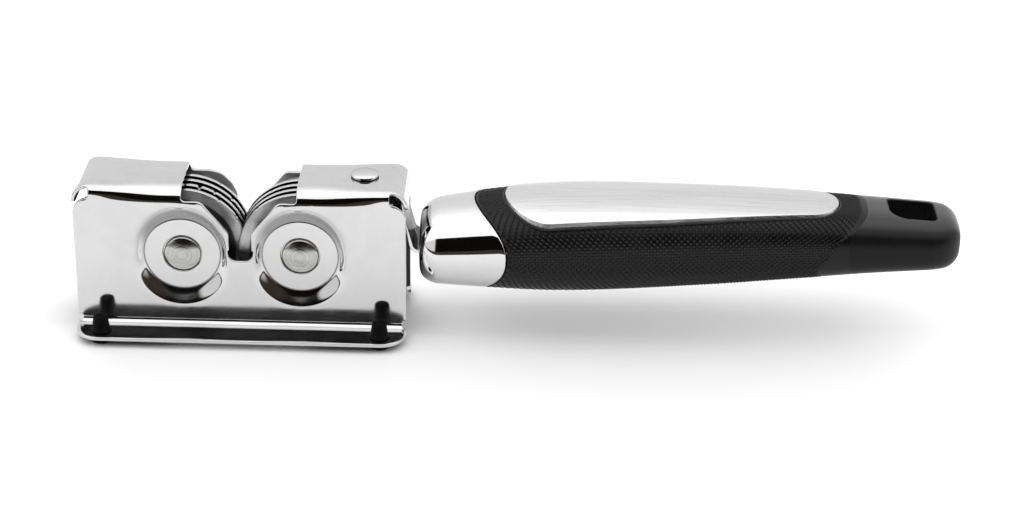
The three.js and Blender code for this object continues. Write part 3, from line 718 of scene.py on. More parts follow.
def outer_loop():
    """Outline of the flat pattern: lip, relief slot, rounded plate corner, bend nick and rounded flange
    corner."""
    lip_end = LIP_START + LIP_RADIUS * np.pi / 2 + LIP_DROP - LIP_RADIUS
    nick = s_at_height(FLANGE_Z + 0.9, HALF_LENGTH)
    quarter = [
        [lip_end, -S_LIP, 1.6],
        [LIP_START, -S_LIP, 0.85],
        [LIP_START, -S_CORNER, 0.85],
        [HALF_LENGTH, -S_CORNER, 3.85],
        [HALF_LENGTH, -nick + 0.8, 0.15],
        [HALF_LENGTH - 1.0, -nick + 0.7, 0.5],
        [HALF_LENGTH - 1.0, -nick - 0.7, 0.5],
        [HALF_LENGTH, -nick - 0.8, 0.15],
        [HALF_LENGTH, -S_FLANGE, FLANGE_CORNER],
    ]
    return mirrored_loop(quarter)


def notch_loop():
    """Outline of the knife notch through both plates and the top, walked in the same sense as the outer
    loop; the left flank of the back plate bulges into the notch."""
    def quarter(flank):
        """Quarter of the notch with the given flank points, heights turned into lengths of the
        pattern."""
        points = [[NOTCH_HALF, 14.5, 0.9], *flank, [2.7, 1.9, 0.1], [3.05, 1.55, 0.2], [3.0, -0.95, 2.2]]
        return np.array([[x, -s_at_height(AXLE_Z + z, NOTCH_HALF), r] for x, z, r in points])

    plain = quarter([[9.3, 14.5, 2.4], [2.7, 6.4, 2.4]])
    bulged = quarter([[9.3, 14.5, 3], [6.3, 13.6, 4], [3.9, 11.0, 4], [2.7, 8.4, 3]])
    return np.concatenate([plain, (plain * [-1, 1, 1])[::-1], bulged * [-1, -1, 1],
                           (plain * [1, -1, 1])[::-1]])


def circle(x, s, radius, points):
    """Evenly divided circle of the flat pattern."""
    t = np.linspace(0, 2 * np.pi, points, endpoint=False)
    return np.stack([x + radius * np.cos(t), s + radius * np.sin(t)], -1)


def anticlockwise(loop):
    """The loop in the sense in which its enclosed area counts as positive."""
    after = np.roll(loop, -1, 0)
    area = (loop[:, 0] * after[:, 1] - loop[:, 1] * after[:, 0]).sum()
    return loop if area > 0 else loop[::-1]


def housing():
    """Folded head: the trimmed flat pattern mapped onto the folded sheet twice, one sheet thickness
    apart, and joined along every outline by a rounded rim carried along it."""
    outer = anticlockwise(walked(filleted(outer_loop()), 0.6))
    outer = outer - outward_of(outer) * EDGE_ROUND
    notch = anticlockwise(walked(filleted(notch_loop()), 0.5))
    quarters = [(a, b) for a in (-1, 1) for b in (-1, 1)]
    holes = [notch]
    holes += [circle(a * AXLE_X, b * S_AXLE, AXLE_HOLE, 96) for a, b in quarters]
    holes += [circle(a * FOOT_X, b * S_FOOT, FOOT_HOLE, 32) for a, b in quarters]
    holes += [circle(RIVET_X, 0, RIVET_HOLE, 32)]
    holes = [hole + outward_of(hole) * EDGE_ROUND for hole in holes]

    bends = [np.linspace(SECTION_ENDS[k] - 0.6, SECTION_ENDS[k + 1] + 0.6, 30) for k in (0, 2)]
    spans = [(0, SECTION_ENDS[0] - 1), (SECTION_ENDS[1] + 1.4, SECTION_ENDS[2] - 1),
             (SECTION_ENDS[3] + 1.4, S_FLANGE)]
    flats = [np.arange(near, far, 0.9) for near, far in spans]
    half = np.sort(np.concatenate(bends + flats))
    rows = np.concatenate([-half[::-1], half[half > 0]])
    lips = np.linspace(LIP_START - 0.5, LIP_START + 7.3, 20)
    columns = np.concatenate([-lips[::-1], np.arange(-LIP_START + 1.4, LIP_START - 1, 0.95), lips])
    mesh_x, mesh_s = np.meshgrid(columns, rows)
    fill = np.stack([mesh_x.ravel(), mesh_s.ravel()], -1)
    fill = fill[seat_gaps(fill[:, 0], fill[:, 1])[1] > 1.2]
    turn = np.linspace(0, 2 * np.pi, 160, endpoint=False)
    reach = np.linspace(SEAT_FLOOR, SEAT_FLOOR + 6, 1201)[:, None]
    past = seat_gaps(AXLE_X + reach * np.cos(turn), S_AXLE + reach * np.sin(turn))[1] > 0
    oval = reach[past.argmax(0), 0]
    wall = np.array([0.1, 0.2, 0.34, 0.48, 0.62, 0.75, 0.86, 0.94, 1.0, 1.06])[:, None]
    flat_floor = np.append(np.linspace(AXLE_HOLE + 0.55, SEAT_FLOOR - 0.4, 7),
                           SEAT_FLOOR + np.array([-0.2, -0.1, 0, 0.1]))
    radii = np.concatenate([flat_floor[:, None] + 0 * turn, lerp(SEAT_FLOOR + 0.1, oval, wall),
                            oval + np.array([[0.25], [0.7]])])
    rings = np.stack([radii * np.cos(turn), radii * np.sin(turn)], -1).reshape(-1, 2)
    fill = np.concatenate([fill, *[rings * [a, b] + [a * AXLE_X, b * S_AXLE] for a, b in quarters]])

    flat, faces = trimmed(outer, holes, fill, 0.28)
    place, along, across = sheet_frame(flat[:, 0], flat[:, 1])
    out = pressed_normal(flat[:, 0], flat[:, 1])
    count = len(flat)
    points = [place, place - out * SHEET]
    all_faces = [faces, faces[:, ::-1] + count]
    bead = np.linspace(0, np.pi / 2, 4)
    used, first = 2 * count, 0
    for number, loop in enumerate([outer, *holes]):
        n = len(loop)
        ids = np.arange(first, first + n)
        first += n
        d = outward_of(loop) * (1 if number == 0 else -1)
        b = unit(along[ids] * d[:, :1] + across[ids] * d[:, 1:])
        p, up = place[ids], out[ids]
        rim = [p + EDGE_ROUND * (up * (np.cos(t) - 1) + b * np.sin(t)) for t in bead[1:]]
        p = p - up * (SHEET - EDGE_ROUND)
        rim += [p + EDGE_ROUND * (b * np.cos(t) - up * np.sin(t)) for t in bead[:-1]]
        all_faces.append(band(ids, rim, used, ids + count))
        points += rim
        used += len(rim) * n
    dull_and_painted_shade, satin = np.zeros((2, used))
    inner, outer_gap = seat_gaps(flat[:, 0], flat[:, 1])
    upper = smooth((S_AXLE - np.abs(flat[:, 1])) / (inner + SEAT_FLOOR) / 0.7)
    # Painted shade on the upper wall of each seat, and a painted dark line along the edge of its floor.
    upper_wall_shade = 0.55 * upper * smooth(inner / 0.3) * smooth(-outer_gap / 1.5)
    dull_and_painted_shade[:count] = np.maximum(0.85 * np.exp(-(inner / 0.15) ** 2), upper_wall_shade)
    # Painted shade of the inside on the inner side, lifted near the notch.
    mouth = 1 - smooth((np.abs(flat[:, 0]) - 12) / 10)
    dull_and_painted_shade[count:2 * count] = 1 - mouth
    low = np.abs(flat[:, 1]) - SECTION_ENDS[2]
    satin[:count] = smooth(low / 3 + 1.8) * (1 - smooth(low / 0.8))
    satin[count:2 * count] = 4 * mouth
    make("folded_head", np.concatenate(points), all_faces, CHROME, ["housing"], crease=50,
         notes={"dull_and_painted_shade": dull_and_painted_shade, "satin": satin})


housing()


# Axles, discs, rivet, feet, strap


def axle(word, side):
    """Axle: a low ball-shaped dome turned on each end, a journal and a wider middle."""
    dome = np.linspace(0, 4.0, 20)
    ball = (4.0 ** 2 + AXLE_DOME ** 2) / (2 * AXLE_DOME)
    end = np.stack([dome, -AXLE_HALF - np.sqrt(ball ** 2 - dome ** 2) + ball - AXLE_DOME], -1)
    rim = np.array([[-0.27, 0.09], [-0.12, 0.2], [-0.03, 0.36], [0, 0.55]]) + [AXLE_END, -AXLE_HALF]
    waist = [[AXLE_END, -SEAT_INNER + 0.1], [5.35, -SEAT_INNER + 0.1], [5.5, -SEAT_INNER + 0.25]]
    half = np.concatenate([end, rim, waist])
    profile = np.concatenate([half, (half * [1, -1])[::-1]])
    centre = np.array([side * AXLE_X, 0, AXLE_Z - AXLE_SAG])
    points, radius, _ = turned(profile, 96, centre, False)
    make(word + "_turned_axle", points, [grid_quads(len(profile), 96)], AXLE, [word + "_axle"],
         crease=35, notes={"radius": radius})


CHIPS = {("left", 1): [(0.967, 0.3, 0.014)], ("left", 2): [(1.317, 0.75, 0.022), (1.06, 0.35, 0.014)],
         ("left", 3): [(0.745, 0.35, 0.016)]}


def disc(word, side, number, front, seed):
    """Disc: a flat ring with small ground chamfers; nicks dip the rim by a bell curve of the angle. The
    faces that look at another disc are blackened: painted shade between the discs, with some grime."""
    back = front + DISC_THICK
    chamfer = np.array([[-0.8, 0], [-0.14, 0], [-0.07, 0.03], [-0.02, 0.08], [0, 0.15]]) + [DISC_RADIUS, 0]
    half = np.concatenate([[[5.7, 0], [10, 0]], chamfer])
    profile = np.concatenate([half + [0, front], (half * [1, -1] + [0, back])[::-1]])
    # Painted shade with some grime between the discs: the faces that look at another disc are marked black.
    facing = np.array([number > 1] * len(half) + [number < 4] * len(half))
    black = np.repeat(facing * (profile[:, 0] < DISC_RADIUS - 0.1), DISC_FACETS)
    dice = np.random.default_rng(seed)
    chance = dice.uniform([0, 0.05, 0.008], [2 * np.pi, 0.2, 0.014], (6, 3))
    known = np.array(CHIPS.get((word, number), [])).reshape(-1, 3)
    at, depth, width = np.concatenate([chance, known]).T

    def nicked(r, angle):
        """Radius less the sum of the bell curves, only near the rim."""
        gap = np.angle(np.exp(1j * (angle[..., None] - at)))
        dip = (depth * np.exp(-(gap / width) ** 2)).sum(-1)
        return r - dip * smooth((r - 14.5) / 0.5)

    centre = np.array([side * AXLE_X, 0, AXLE_Z - AXLE_SAG])
    points, radius, _ = turned(profile, DISC_FACETS, centre, False, nicked)
    make(f"{word}_ground_disc_{number}", points, [grid_quads(len(profile), DISC_FACETS, loop=True)], DISC,
         [f"{word}_disc_{number}"], f"{word}_disc_{number}_body", crease=30,
         notes={"radius": radius, "black": black})


for word, side, first_face in (("left", -1, -4.05), ("right", 1, -5.45)):
    axle(word, side)
    for k in range(4):
        disc(word, side, k + 1, first_face + DISC_STEP * k, 10 * k + side + 3)


def rivet():
    """Rivet: a low domed head on the top sheet, a shank and a spread tail below the strap."""
    t = np.linspace(0, np.pi / 2, 14)
    seat = TOP_Z + CONTACT_GAP
    dome = np.stack([RIVET_HEAD * np.cos(t) ** 0.9, seat + 0.55 + 0.9 * np.sin(t)], -1)
    tail_z = TOP_Z - SHEET - CONTACT_GAP - STRAP_THICK - CONTACT_GAP
    tail = np.array([[0, -1.05], [1.4, -1.03], [2.4, -0.85], [3.0, -0.3], [RIVET_TAIL, 0]]) + [0, tail_z]
    neck = np.array([[RIVET_SHANK, tail_z], [RIVET_SHANK, seat], [3.2, seat], [3.38, seat + 0.15]])
    profile = np.concatenate([tail, neck, dome])
    points, _, _ = turned(profile, 96, np.array([RIVET_X, 0, 0]), True)
    # Painted shade under the head: the rivet is darkened below its dome, along the rim where it meets the
    # sheet.
    bright = smooth((points[:, 2] - seat - 0.12) / 0.2)
    make("domed_rivet", points, [grid_quads(len(profile), 96)], STRAP, ["strap_rivet"],
         crease=45, notes={"edge": bright})


rivet()


def feet():
    """Feet: a rounded pad under the flange, a neck in its hole and a blunt cone above with a small
    collar."""
    under, over = FLANGE_Z - SHEET - CONTACT_GAP, FLANGE_Z + CONTACT_GAP
    pad = [[0, 0], [1.9, 0], [2.3, 0.06], [2.58, 0.3], [2.7, 0.66], [2.7, under - 0.15], [2.6, under],
           [1.7, under]]
    cone = np.array([
        [1.7, 0], [2.3, 0], [2.42, 0.12], [2.42, 0.45], [2.3, 0.6], [2.15, 0.75], [1.76, 3.4], [1.66, 3.7],
        [1.42, 3.86], [0.8, 3.9], [0, 3.9]])
    profile = np.concatenate([pad, cone + [0, over]])
    for word_y, face in (("front", -1), ("back", 1)):
        for word_x, side in (("left", -1), ("right", 1)):
            points, _, _ = turned(profile, 64, np.array([side * FOOT_X, face * FOOT_Y, 0]), True)
            make(f"rubber_foot_{word_y}_{word_x}", points, [grid_quads(len(profile), 64)], FOOT,
                 [f"foot_{word_y}_{word_x}"], crease=50)


feet()


def strap():
    """Strap: a flat section with rounded edges carried along a bent centre line in the XZ plane."""
    line = [[21, 36.9, 0], [38.3, 36.9, 2.6], [38.3, 33.4, 3], [39.3, 28.6, 2.5], [41.2, 21.6, 2.2],
            [95.4, 21.6, 0]]
    path = filleted([*line, [95.4, 60, 0], [21, 60, 0]], 20)[:-2]
    place = run_along(path)
    even = np.union1d(np.arange(0, place[-1], 0.8), place)
    path = np.stack([np.interp(even, place, path[:, k]) for k in (0, 1)], -1)
    tangent = unit(np.gradient(path, even, axis=0))
    normal = np.stack([-tangent[:, 1], tangent[:, 0]], -1)
    wide, thick = STRAP_HALF, STRAP_THICK / 2
    section = [[-wide, -thick, 0.2], [wide, -thick, 0.2], [wide, thick, 0.2], [-wide, thick, 0.2]]
    section = walked(filleted(section, 5), 0.9)
    n = len(section)
    x = path[:, :1] + normal[:, :1] * section[:, 1]
    z = path[:, 1:] + normal[:, 1:] * section[:, 1]
    y = np.broadcast_to(section[:, 0], x.shape)
    points = np.stack([x, y, z], -1).reshape(-1, 3)
    ends = np.array([points[:n].mean(0), points[-n:].mean(0)])
    ring = np.arange(n)
    fans = [np.stack([ring, np.roll(ring, -1), np.full(n, len(points))], -1),
            np.stack([np.roll(ring, -1) + len(points) - n, ring + len(points) - n,
                      np.full(n, len(points) + 1)], -1)]
    points = np.concatenate([points, ends])
    across, height = points[:, 1], points[:, 2]
    # Painted shade lifted high up and towards the back of the strap; none on its rounded edges.
    shade_lifted = 0.9 * smooth((across + 4) / 7) * smooth((height - 26) / 5)
    make("bent_strap", points, [grid_quads(len(path), n), *fans], STRAP, ["tang_strap"],
         crease=40, notes={"edge": np.maximum(smooth((np.abs(across) - 6.2) / 0.2), shade_lifted)})


strap()


# Handle


def station_sizes(share):
    """Lift, half width, half height and power of the oval along the handle: a cubic through the stations
    whose slope at each one comes from its neighbours, with no curvature at the two ends."""
    t, v = STATIONS[:, 0], STATIONS[:, 1:]
    last = len(t) - 2
    i = np.clip(np.searchsorted(t, share, side="right") - 1, 0, last)
    t0, t1 = t[i], t[i + 1]
    before, after = np.where(i == 0, 1, i - 1), np.where(i == last, last, np.minimum(i + 2, last + 1))
    half = (t1 - t0) / 2
    wp = half / (t0 - np.where(i == 0, t1, t[before]))
    wn = half / (np.where(i == last, t0, t[after]) - t1)
    p = (share - t0) / (t1 - t0)
    pp, ppp = p * p, p * p * p
    weights = [-wp * ppp + 2 * wp * pp - wp * p,
               (1 + wp) * ppp + (-1.5 - 2 * wp) * pp + (-0.5 + wp) * p + 1,
               (-1 - wn) * ppp + (1.5 + wn) * pp + 0.5 * p,
               wn * ppp - wn * pp]
    parts = [v[before], v[i], v[i + 1], v[after]]
    total = sum(w[..., None] * part for w, part in zip(weights, parts))
    return np.moveaxis(total, -1, 0)


def cap_share(distance, radius, face):
    """Quarter-ellipse run from the face share at distance 0 up to 1 at the radius."""
    a = np.clip(distance / radius, 0, 1)
    return face + (1 - face) * np.sqrt(1 - (1 - a) ** 2)


def handle_sizes(x, inset):
    """Middle height, half width, half height and power of the handle's oval at x."""
    share = np.clip((x - NOSE_X) / HANDLE_LENGTH, 0, 1)
    lift, width, height, square = station_sizes(share)
    nose = cap_share(x - NOSE_X, NOSE_ROUND, NOSE_FACE)
    half_width = width * nose * cap_share(TAIL_X - x, TAIL_ROUND_PLAN, TAIL_FACE) - inset
    half_height = height * nose * cap_share(TAIL_X - x, TAIL_ROUND_SIDE, TAIL_FACE) - inset
    return AXLE_Z + lift, half_width, half_height, square


def handle_place(x, angle, inset):
    """Point of the handle's surface: a superellipse in YZ, its size and squareness changing along X."""
    middle, width, height, square = handle_sizes(x, inset)
    cos, sin = np.cos(angle), np.sin(angle)
    y = width * np.sign(cos) * np.abs(cos) ** (2 / square)
    z = middle + height * np.sign(sin) * np.abs(sin) ** (2 / square)
    return np.stack(np.broadcast_arrays(x, y, z), -1)


def crown_height(x, y, raise_by):
    """Height of the handle's upper surface over a point of the plan."""
    middle, width, height, square = handle_sizes(x, -raise_by)
    share = np.clip(np.abs(y) / width, 0, 1)
    return middle + height * (1 - share ** square) ** (1 / square)


def ferrule_edge(angle):
    """Slanted seam between ferrule and grip: further back at the sides than above and below."""
    return NOSE_X + lerp(FERRULE_SIDE, FERRULE_TOP, np.sin(angle) ** 2)


def grip_end(angle):
    """Seam between grip and tail: further forward at the sides."""
    return TAIL_X - lerp(GRIP_TAIL_SIDE, GRIP_TAIL_TOP, np.sin(angle) ** 2)


def even_angles(count):
    """Angles round the handle whose points are about evenly spaced on a mid-length section."""
    fine = np.linspace(0, 2 * np.pi, 4001)
    p = handle_place(np.full(4001, NOSE_X + 0.4 * HANDLE_LENGTH), fine, 0.0)
    run = run_along(p)
    return np.interp(np.linspace(0, run[-1], count, endpoint=False), run, fine)


def ferrule():
    """Ferrule: the handle's surface from a flat nose through its rounding to the slanted edge, a rounded
    rim, and the inner wall one skin further in."""
    angle = even_angles(144)[None, :]
    edge = ferrule_edge(angle)
    nose = NOSE_X + NOSE_ROUND * (1 - np.cos(np.linspace(0, np.pi / 2, 16)))[:, None]
    body = lerp(NOSE_X + NOSE_ROUND, edge - 0.3, np.linspace(0, 1, 16)[1:, None])
    rows = [handle_place(nose + 0 * angle, 0 * nose + angle, 0.0),
            handle_place(body, angle + 0 * body, 0.0)]
    for t in np.linspace(0, np.pi / 2, 5)[1:]:
        rows.append(handle_place(edge - 0.3 * (1 - np.sin(t)), angle, 0.3 * (1 - np.cos(t))))
    inner = lerp(edge, NOSE_X + NOSE_ROUND, np.linspace(0, 1, 6)[:, None])
    rows.append(handle_place(inner, angle + 0 * inner, SKIN))
    rows.append(handle_place(NOSE_X + SKIN + 0 * angle, angle, SKIN))
    points = np.concatenate([r.reshape(-1, angle.size, 3) for r in rows])
    front, rear = points[:1].mean(1, keepdims=True), points[-1:].mean(1, keepdims=True)
    shrink = np.linspace(0, 1, 6)[:-1, None, None]
    points = np.concatenate([front + (points[:1] - front) * shrink, points, rear + 0 * points[-1:]])
    make("polished_ferrule", points.reshape(-1, 3), [grid_quads(len(points), angle.size)], CUP, ["ferrule"],
         crease=50)


ferrule()


def inlay_outline(grow, count=360):
    """Long oval seen from above: two round ends of different radius joined by bowed sides, evenly
    divided."""
    front, rear = INLAY_FRONT_HALF + grow, INLAY_REAR_HALF + grow
    front_x = NOSE_X + INLAY_FRONT + INLAY_FRONT_HALF
    rear_x = NOSE_X + INLAY_FRONT + INLAY_LENGTH - INLAY_REAR_HALF
    turn = np.pi / 2 - INLAY_LEAN
    end_x, end_y = rear_x + rear * np.cos(turn), rear * np.sin(turn)
    bow_x = end_x - (front - end_y) / np.tan(INLAY_LEAN)
    a = np.linspace(np.pi, 1.5 * np.pi, 200)
    b = np.linspace(-turn, 0, 120)
    t = np.linspace(0, 1, 300)[:, None]
    p0, p1, p2 = np.array([front_x, -front]), np.array([bow_x, -front]), np.array([end_x, -end_y])
    side = (1 - t) ** 2 * p0 + 2 * t * (1 - t) * p1 + t * t * p2
    half = np.concatenate([np.stack([front_x + front * np.cos(a), front * np.sin(a)], -1), side[1:],
                           np.stack([rear_x + rear * np.cos(b), rear * np.sin(b)], -1)[1:]])
    loop = np.concatenate([half, (half * [1, -1])[-2:0:-1]])
    closed = np.concatenate([loop, loop[:1]])
    run = run_along(closed)
    even = np.linspace(0, run[-1], count, endpoint=False)
    return np.stack([np.interp(even, run, closed[:, k]) for k in (0, 1)], -1)


def inlay_raise(x):
    """How far the inlay stands over the grip: most at the front, least at the rear."""
    return lerp(0.32, 0.2, np.clip((x - NOSE_X - INLAY_FRONT) / INLAY_LENGTH, 0, 1))


def inlay():
    """Inlay: the crown surface lifted over the plan outline, shrunk towards a spine line for its rows,
    with a slightly broken upper edge, a wall that leans out to its foot and an underside that follows the
    crown."""
    loop = inlay_outline(0.0)
    out = outward_of(loop)
    front_x = NOSE_X + INLAY_FRONT + INLAY_FRONT_HALF
    rear_x = NOSE_X + INLAY_FRONT + INLAY_LENGTH - INLAY_REAR_HALF
    spine = np.stack([np.clip(loop[:, 0], front_x, rear_x), 0 * loop[:, 1]], -1)
    rows = []
    lean, broken = 0.3, 0.08
    rim = loop - out * lean
    for q in np.linspace(0, 1, 26):
        plan = spine + (rim - spine) * q
        rows.append(np.column_stack([plan, crown_height(plan[:, 0], plan[:, 1], inlay_raise(plan[:, 0]))]))
    for t in np.linspace(0, np.pi / 2, 5)[1:]:
        plan = rim + out * broken * np.sin(t)
        top = crown_height(plan[:, 0], plan[:, 1], inlay_raise(plan[:, 0]))
        rows.append(np.column_stack([plan, top - broken * (1 - np.cos(t))]))
    low = crown_height(loop[:, 0], loop[:, 1], -0.4)
    rows.append(np.column_stack([loop, low]))
    for q in np.linspace(1, 0, 8)[1:]:
        plan = spine + (loop - spine) * q
        rows.append(np.column_stack([plan, crown_height(plan[:, 0], plan[:, 1], -0.4)]))
    points = np.concatenate(rows)
    make("brushed_plate", points, [grid_quads(len(rows), len(loop))], INLAY, ["inlay_plate"],
         crease=40)


inlay()


def grip():
    """Grip: the handle's surface between the two seams on a fine grid, raised into a lattice of blunt
    pyramids whose valleys run along both diagonals, calm at the borders and sunk under the inlay, closed
    by the inner wall one skin further in."""
    angle = even_angles(KNURL_ROUND)[None, :]
    start, end = ferrule_edge(angle) + 0.3, grip_end(angle) + 0.35
    count = int(round((TAIL_X - 25 - NOSE_X - 17.1) / KNURL_STEP / 4)) * 4
    share = np.linspace(0, 1, count + 1)[:, None]
    x = lerp(start, end, share)
    along = np.arange(count + 1)[:, None] / 4
    around = np.arange(KNURL_ROUND)[None, :] / 4
    peak = 2 * np.minimum(np.abs((along + around) % 1 - 0.5), np.abs((along - around) % 1 - 0.5))
    flank = handle_place(x, angle + 0 * x, 0.0)
    fade = end - 1 - 7 * smooth((0.5 - np.sin(angle)) / 1.1)
    calm = smooth((x - start - 0.3) / 0.5) * smooth((fade - x) / 1.6)
    edge = 0.3 * (1 - smooth((x - start) / 0.35)) + 0.05 * (1 - smooth((end - x) / 0.4))
    outline = inlay_outline(0.3)
    plan = flank[..., :2].reshape(-1, 2)
    under = (inside(plan, outline).reshape(x.shape)) & (np.sin(angle) > 0)
    worn = lerp(0.55, 1.0, smooth((np.sin(angle) + 0.95) / 0.5))
    inset = KNURL_HEIGHT * worn * (1 - peak) * calm + 0.1 * (1 - calm) + edge
    inset = np.where(under, 0.9, inset)
    outer = handle_place(x, angle + 0 * x, inset)
    back = lerp(end, start, np.linspace(0, 1, 9)[:, None])
    wall = handle_place(back, angle + 0 * back, SKIN)
    points = np.concatenate([outer, wall])
    make("knurled_grip", points.reshape(-1, 3), [grid_quads(len(points), KNURL_ROUND, loop=True)], GRIP,
         ["grip_sleeve"], crease=18)


grip()


def pocket_lip():
    """Smooth lip round the inlay: a small rounded section carried along the inlay's outline on the
    crown."""
    turn = np.linspace(0, 2 * np.pi, 14, endpoint=False)
    rows = []
    for t in turn:
        loop = inlay_outline(0.36 + 0.3 * np.cos(t))
        z = crown_height(loop[:, 0], loop[:, 1], 0.0) - 0.42 + 0.3 * np.sin(t)
        rows.append(np.column_stack([loop, z]))
    points = np.concatenate(rows)
    make("pocket_lip", points, [grid_quads(len(rows), 360, loop=True)], GRIP, ["grip_sleeve"])


pocket_lip()


def tail():
    """Tail: the handle's surface from the grip's seam to the end as a trimmed pattern in length and
    angle, with the hang hole through it, its rim rounded, and a plug under the grip."""
    count = 120
    spot = lambda a: np.interp(a, np.arange(count + 1), np.append(even_angles(count), 2 * np.pi))
    scale = 11.0
    v = spot(np.arange(count + 1)) * scale
    seam = grip_end(v / scale) + 0.1
    columns = np.concatenate([np.arange(TAIL_X - 27, TAIL_X - 8, 0.75),
                              TAIL_X - 8 * (1 - np.sin(np.linspace(0, np.pi / 2, 20)))])
    side = columns[columns > seam[0] + 0.3]
    right = np.stack([np.full(count + 1, TAIL_X), v], -1)
    left = np.stack([seam, v], -1)
    low = np.stack([side[:-1], 0 * side[:-1]], -1)
    outer = np.concatenate([left[:1], low, right, (low + [0, v[-1]])[::-1], left[:0:-1]])

    long, wide = HANG_HALF_LENGTH, HANG_HALF_WIDTH
    plan = filleted([[-long, -wide, 4.2], [long, -wide, 1.4], [long, wide, 1.4], [-long, wide, 1.4]], 14)
    plan = walked(plan, 0.45) + [TAIL_X - HANG_FROM_END - HANG_HALF_LENGTH, 0]
    rim_round = 0.35
    wide = plan + outward_of(plan) * rim_round

    def angle_over(points):
        """Angle of the upper surface point that lies over a point of the plan."""
        _, width, _, square = handle_sizes(points[:, 0], 0.0)
        share = np.sign(points[:, 1]) * (np.abs(points[:, 1]) / width) ** (square / 2)
        return np.arccos(np.clip(share, -1, 1))

    over = angle_over(wide)
    upper = np.stack([wide[:, 0], over * scale], -1)
    lower = np.stack([wide[:, 0], (2 * np.pi - over) * scale], -1)
    cx, cv = np.meshgrid(columns, v[1:-1])
    fill = np.stack([cx.ravel(), cv.ravel()], -1)
    flat, faces = trimmed(outer, [upper, lower], fill, 0.24)
    skin = handle_place(flat[:, 0], flat[:, 1] / scale, 0.12)

    n = len(plan)
    top_ids = np.arange(len(outer), len(outer) + n)
    low_ids = top_ids + n
    arc = np.linspace(0, np.pi / 2, 6)[1:]
    inward = np.column_stack([plan - wide, np.zeros(n)])
    down = np.array([0, 0, -rim_round])
    rows = [skin[top_ids] + inward * np.sin(t) + down * (1 - np.cos(t)) for t in arc]
    rows += [skin[low_ids] + inward * np.sin(t) - down * (1 - np.cos(t)) for t in arc[::-1]]
    all_faces = [faces, band(top_ids, rows, len(skin), low_ids)]
    used = len(skin) + len(rows) * n

    end_ids = np.arange(1 + len(low), 1 + len(low) + count + 1)[:-1]
    middle = skin[end_ids].mean(0)
    shrink = [middle + (skin[end_ids] - middle) * q for q in (0.75, 0.4, 0.0)]
    all_faces.append(band(end_ids, shrink, used))
    used += len(shrink) * count

    ring = spot(np.arange(count))
    front = grip_end(ring)
    plug = [handle_place(front + 0.1, ring, 1.2), handle_place(front - 3, ring, 2.0),
            handle_place(front - 12, ring, 2.0)]
    plug.append(np.broadcast_to(plug[-1].mean(0), plug[-1].shape))
    seam_ids = np.concatenate([[0], np.arange(len(outer) - count, len(outer))[::-1][:-1]])
    all_faces.append(band(seam_ids, plug, used))
    points = np.concatenate([skin, *rows, *shrink, *plug])
    upper = np.zeros(len(points))
    upper[:len(skin)] = smooth((np.sin(flat[:, 1] / scale) - 0.58) / 0.27)
    make("tail_core", points, all_faces, CORE, ["handle_core"], crease=60,
         notes={"upper": upper})


tail()

for name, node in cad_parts.items():
    # The rings between the discs are dark with painted shade between the discs and some grime.
    if "spacer" in name or "collar" in name:
        node.data.materials.clear()
        node.data.materials.append(GRIME_AND_SHADE)


# Floor, light and camera; floor and card in metres

CARD_Y = -0.145
CARD_Z = 0.0004
CAMERA_AIM = np.array([65.063, 0, 17.087])
CAMERA_AWAY = 591.47
CAMERA_TURN = np.radians([26.385, -0.740, 1.092])
FOCUS_SHARE = 2425.5 / 1024


def ground(name, far_y, rows, height, dark, light, shown=True):
    """Flat, faintly mottled stage piece 8 m wide, from 4 m in front of the part to far_y. One that isn't
    shown is seen in polished faces only."""
    x, y = np.meshgrid(np.linspace(-4, 4, 9), np.linspace(-4, far_y, rows))
    points = np.stack([x, y, 0 * x + height], -1).reshape(-1, 3)
    mesh = bpy.data.meshes.new(name)
    mesh.from_pydata(points.tolist(), [], grid_quads(rows, 9, ring=False).tolist())
    material, tree, shader, where = finish(name, 0.0, Roughness=0.9, Specular_IOR_Level=0.1)
    tint(tree, shader, place_group(tree, CLOUDY, where, Size=3.0), dark, light)
    mesh.materials.append(material)
    thing = bpy.data.objects.new(name, mesh)
    thing.visible_camera = thing.visible_diffuse = thing.visible_shadow = shown
    bpy.context.scene.collection.objects.link(thing)


# Plain pale floor, far wider than the view, and a dark card where the pale table ends in front.
ground("pale_floor", 4, 9, 0, 0.85, 0.87)
ground("dark_card", CARD_Y, 5, CARD_Z, (0.02, 0.017, 0.014), (0.028, 0.024, 0.02), shown=False)


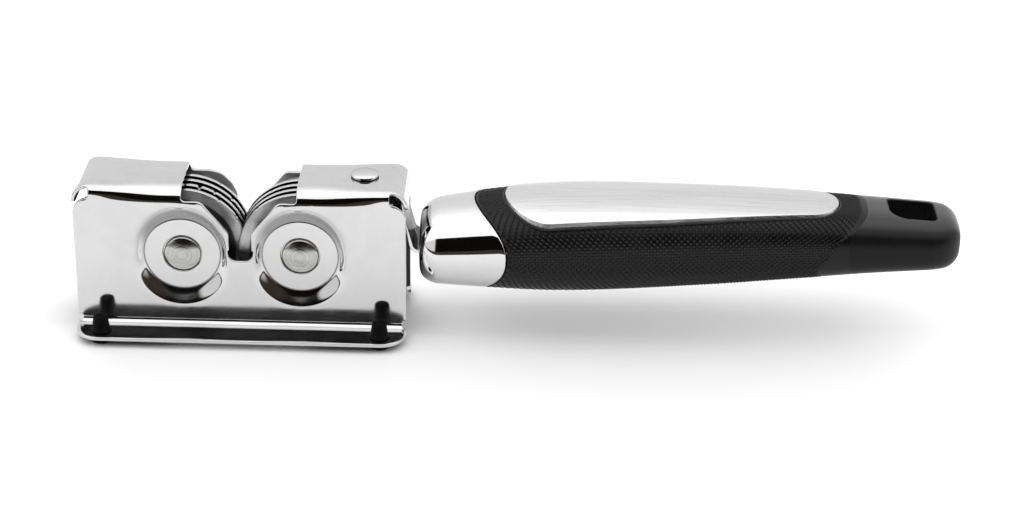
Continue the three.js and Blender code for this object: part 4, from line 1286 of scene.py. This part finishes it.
def studio():
    """Soft studio by the direction of the light: a white softbox above the front, pale walls and ceiling
    behind it, and a dark opening in front where the camera stands."""
    world = bpy.data.worlds.new("studio")
    world.use_nodes = True
    tree = world.node_tree
    split = tree.nodes.new("ShaderNodeSeparateXYZ")
    tree.links.new(tree.nodes.new("ShaderNodeTexCoord").outputs["Generated"], split.inputs[0])
    x, y, z = split.outputs
    rise = math_node(tree, "ARCTAN2", z, scaled(tree, y, -1.0))
    share = math_node(tree, "DIVIDE", rise, np.pi)
    ramp = tree.nodes.new("ShaderNodeValToRGB")
    stops = [(0.0, 0.9), (0.2, 0.9), (0.22, 1.55), (0.37, 1.55), (0.41, 1.9), (0.5, 1.75), (0.62, 1.25),
             (0.72, 1.0), (0.83, 0.94), (1.0, 0.94)]
    marks = ramp.color_ramp.elements
    while len(marks) < len(stops):
        marks.new(0.5)
    for mark, (at, level) in zip(marks, stops):
        mark.position = at
        mark.color = (level, level, level, 1)
    tree.links.new(share, ramp.inputs["Fac"])
    high = spread(tree, share, 0.212, 0.227, 1.0, 0.0)
    wide = scaled(tree, spread(tree, x, -0.62, -0.48, 0.0, 1.0), spread(tree, x, 0.75, 0.95, 1.0, 0.0))
    shade = scaled(tree, high, wide)
    warm = mixed(tree, spread(tree, x, 0.1, 0.45, 0.0, 1.0), (0.005, 0.0045, 0.004), (0.05, 0.04, 0.034))
    seen = mixed(tree, shade, ramp.outputs["Color"], warm)
    tree.links.new(seen, tree.nodes["Background"].inputs["Color"])
    bpy.context.scene.world = world


studio()


def back_fill():
    """Large soft light high behind the part, which lightens the far side of its shadow."""
    data = bpy.data.lights.new("back_fill", "AREA")
    data.shape = "RECTANGLE"
    data.size, data.size_y = 1.4, 0.6
    data.energy = 3.8
    thing = bpy.data.objects.new("back_fill", data)
    thing.location = (0.05, 0.7, 0.5)
    thing.rotation_euler = (-np.arctan2(0.7, 0.5), 0, 0)
    thing.visible_glossy = False
    bpy.context.scene.collection.objects.link(thing)


back_fill()


def camera():
    """Camera of the photograph: pitched down 26.4 degrees, almost square to the front, slightly
    rolled."""
    pitch, yaw, roll = CAMERA_TURN
    ahead = np.array([np.sin(yaw) * np.cos(pitch), np.cos(yaw) * np.cos(pitch), -np.sin(pitch)])
    right = np.array([np.cos(yaw), -np.sin(yaw), 0])
    up = np.cross(right, ahead)
    right, up = np.cos(roll) * right + np.sin(roll) * up, np.cos(roll) * up - np.sin(roll) * right
    place = (CAMERA_AIM - CAMERA_AWAY * ahead + SLOT_AT) * MM
    data = bpy.data.cameras.new("camera")
    data.sensor_width = 36
    data.lens = FOCUS_SHARE * data.sensor_width
    data.clip_start, data.clip_end = 0.02, 20
    thing = bpy.data.objects.new("camera", data)
    turn = Matrix([[right[k], up[k], -ahead[k], place[k]] for k in range(3)] + [[0, 0, 0, 1]])
    thing.matrix_world = turn
    bpy.context.scene.collection.objects.link(thing)
    bpy.context.scene.camera = thing


camera()
bpy.context.scene.view_settings.view_transform = "Standard"
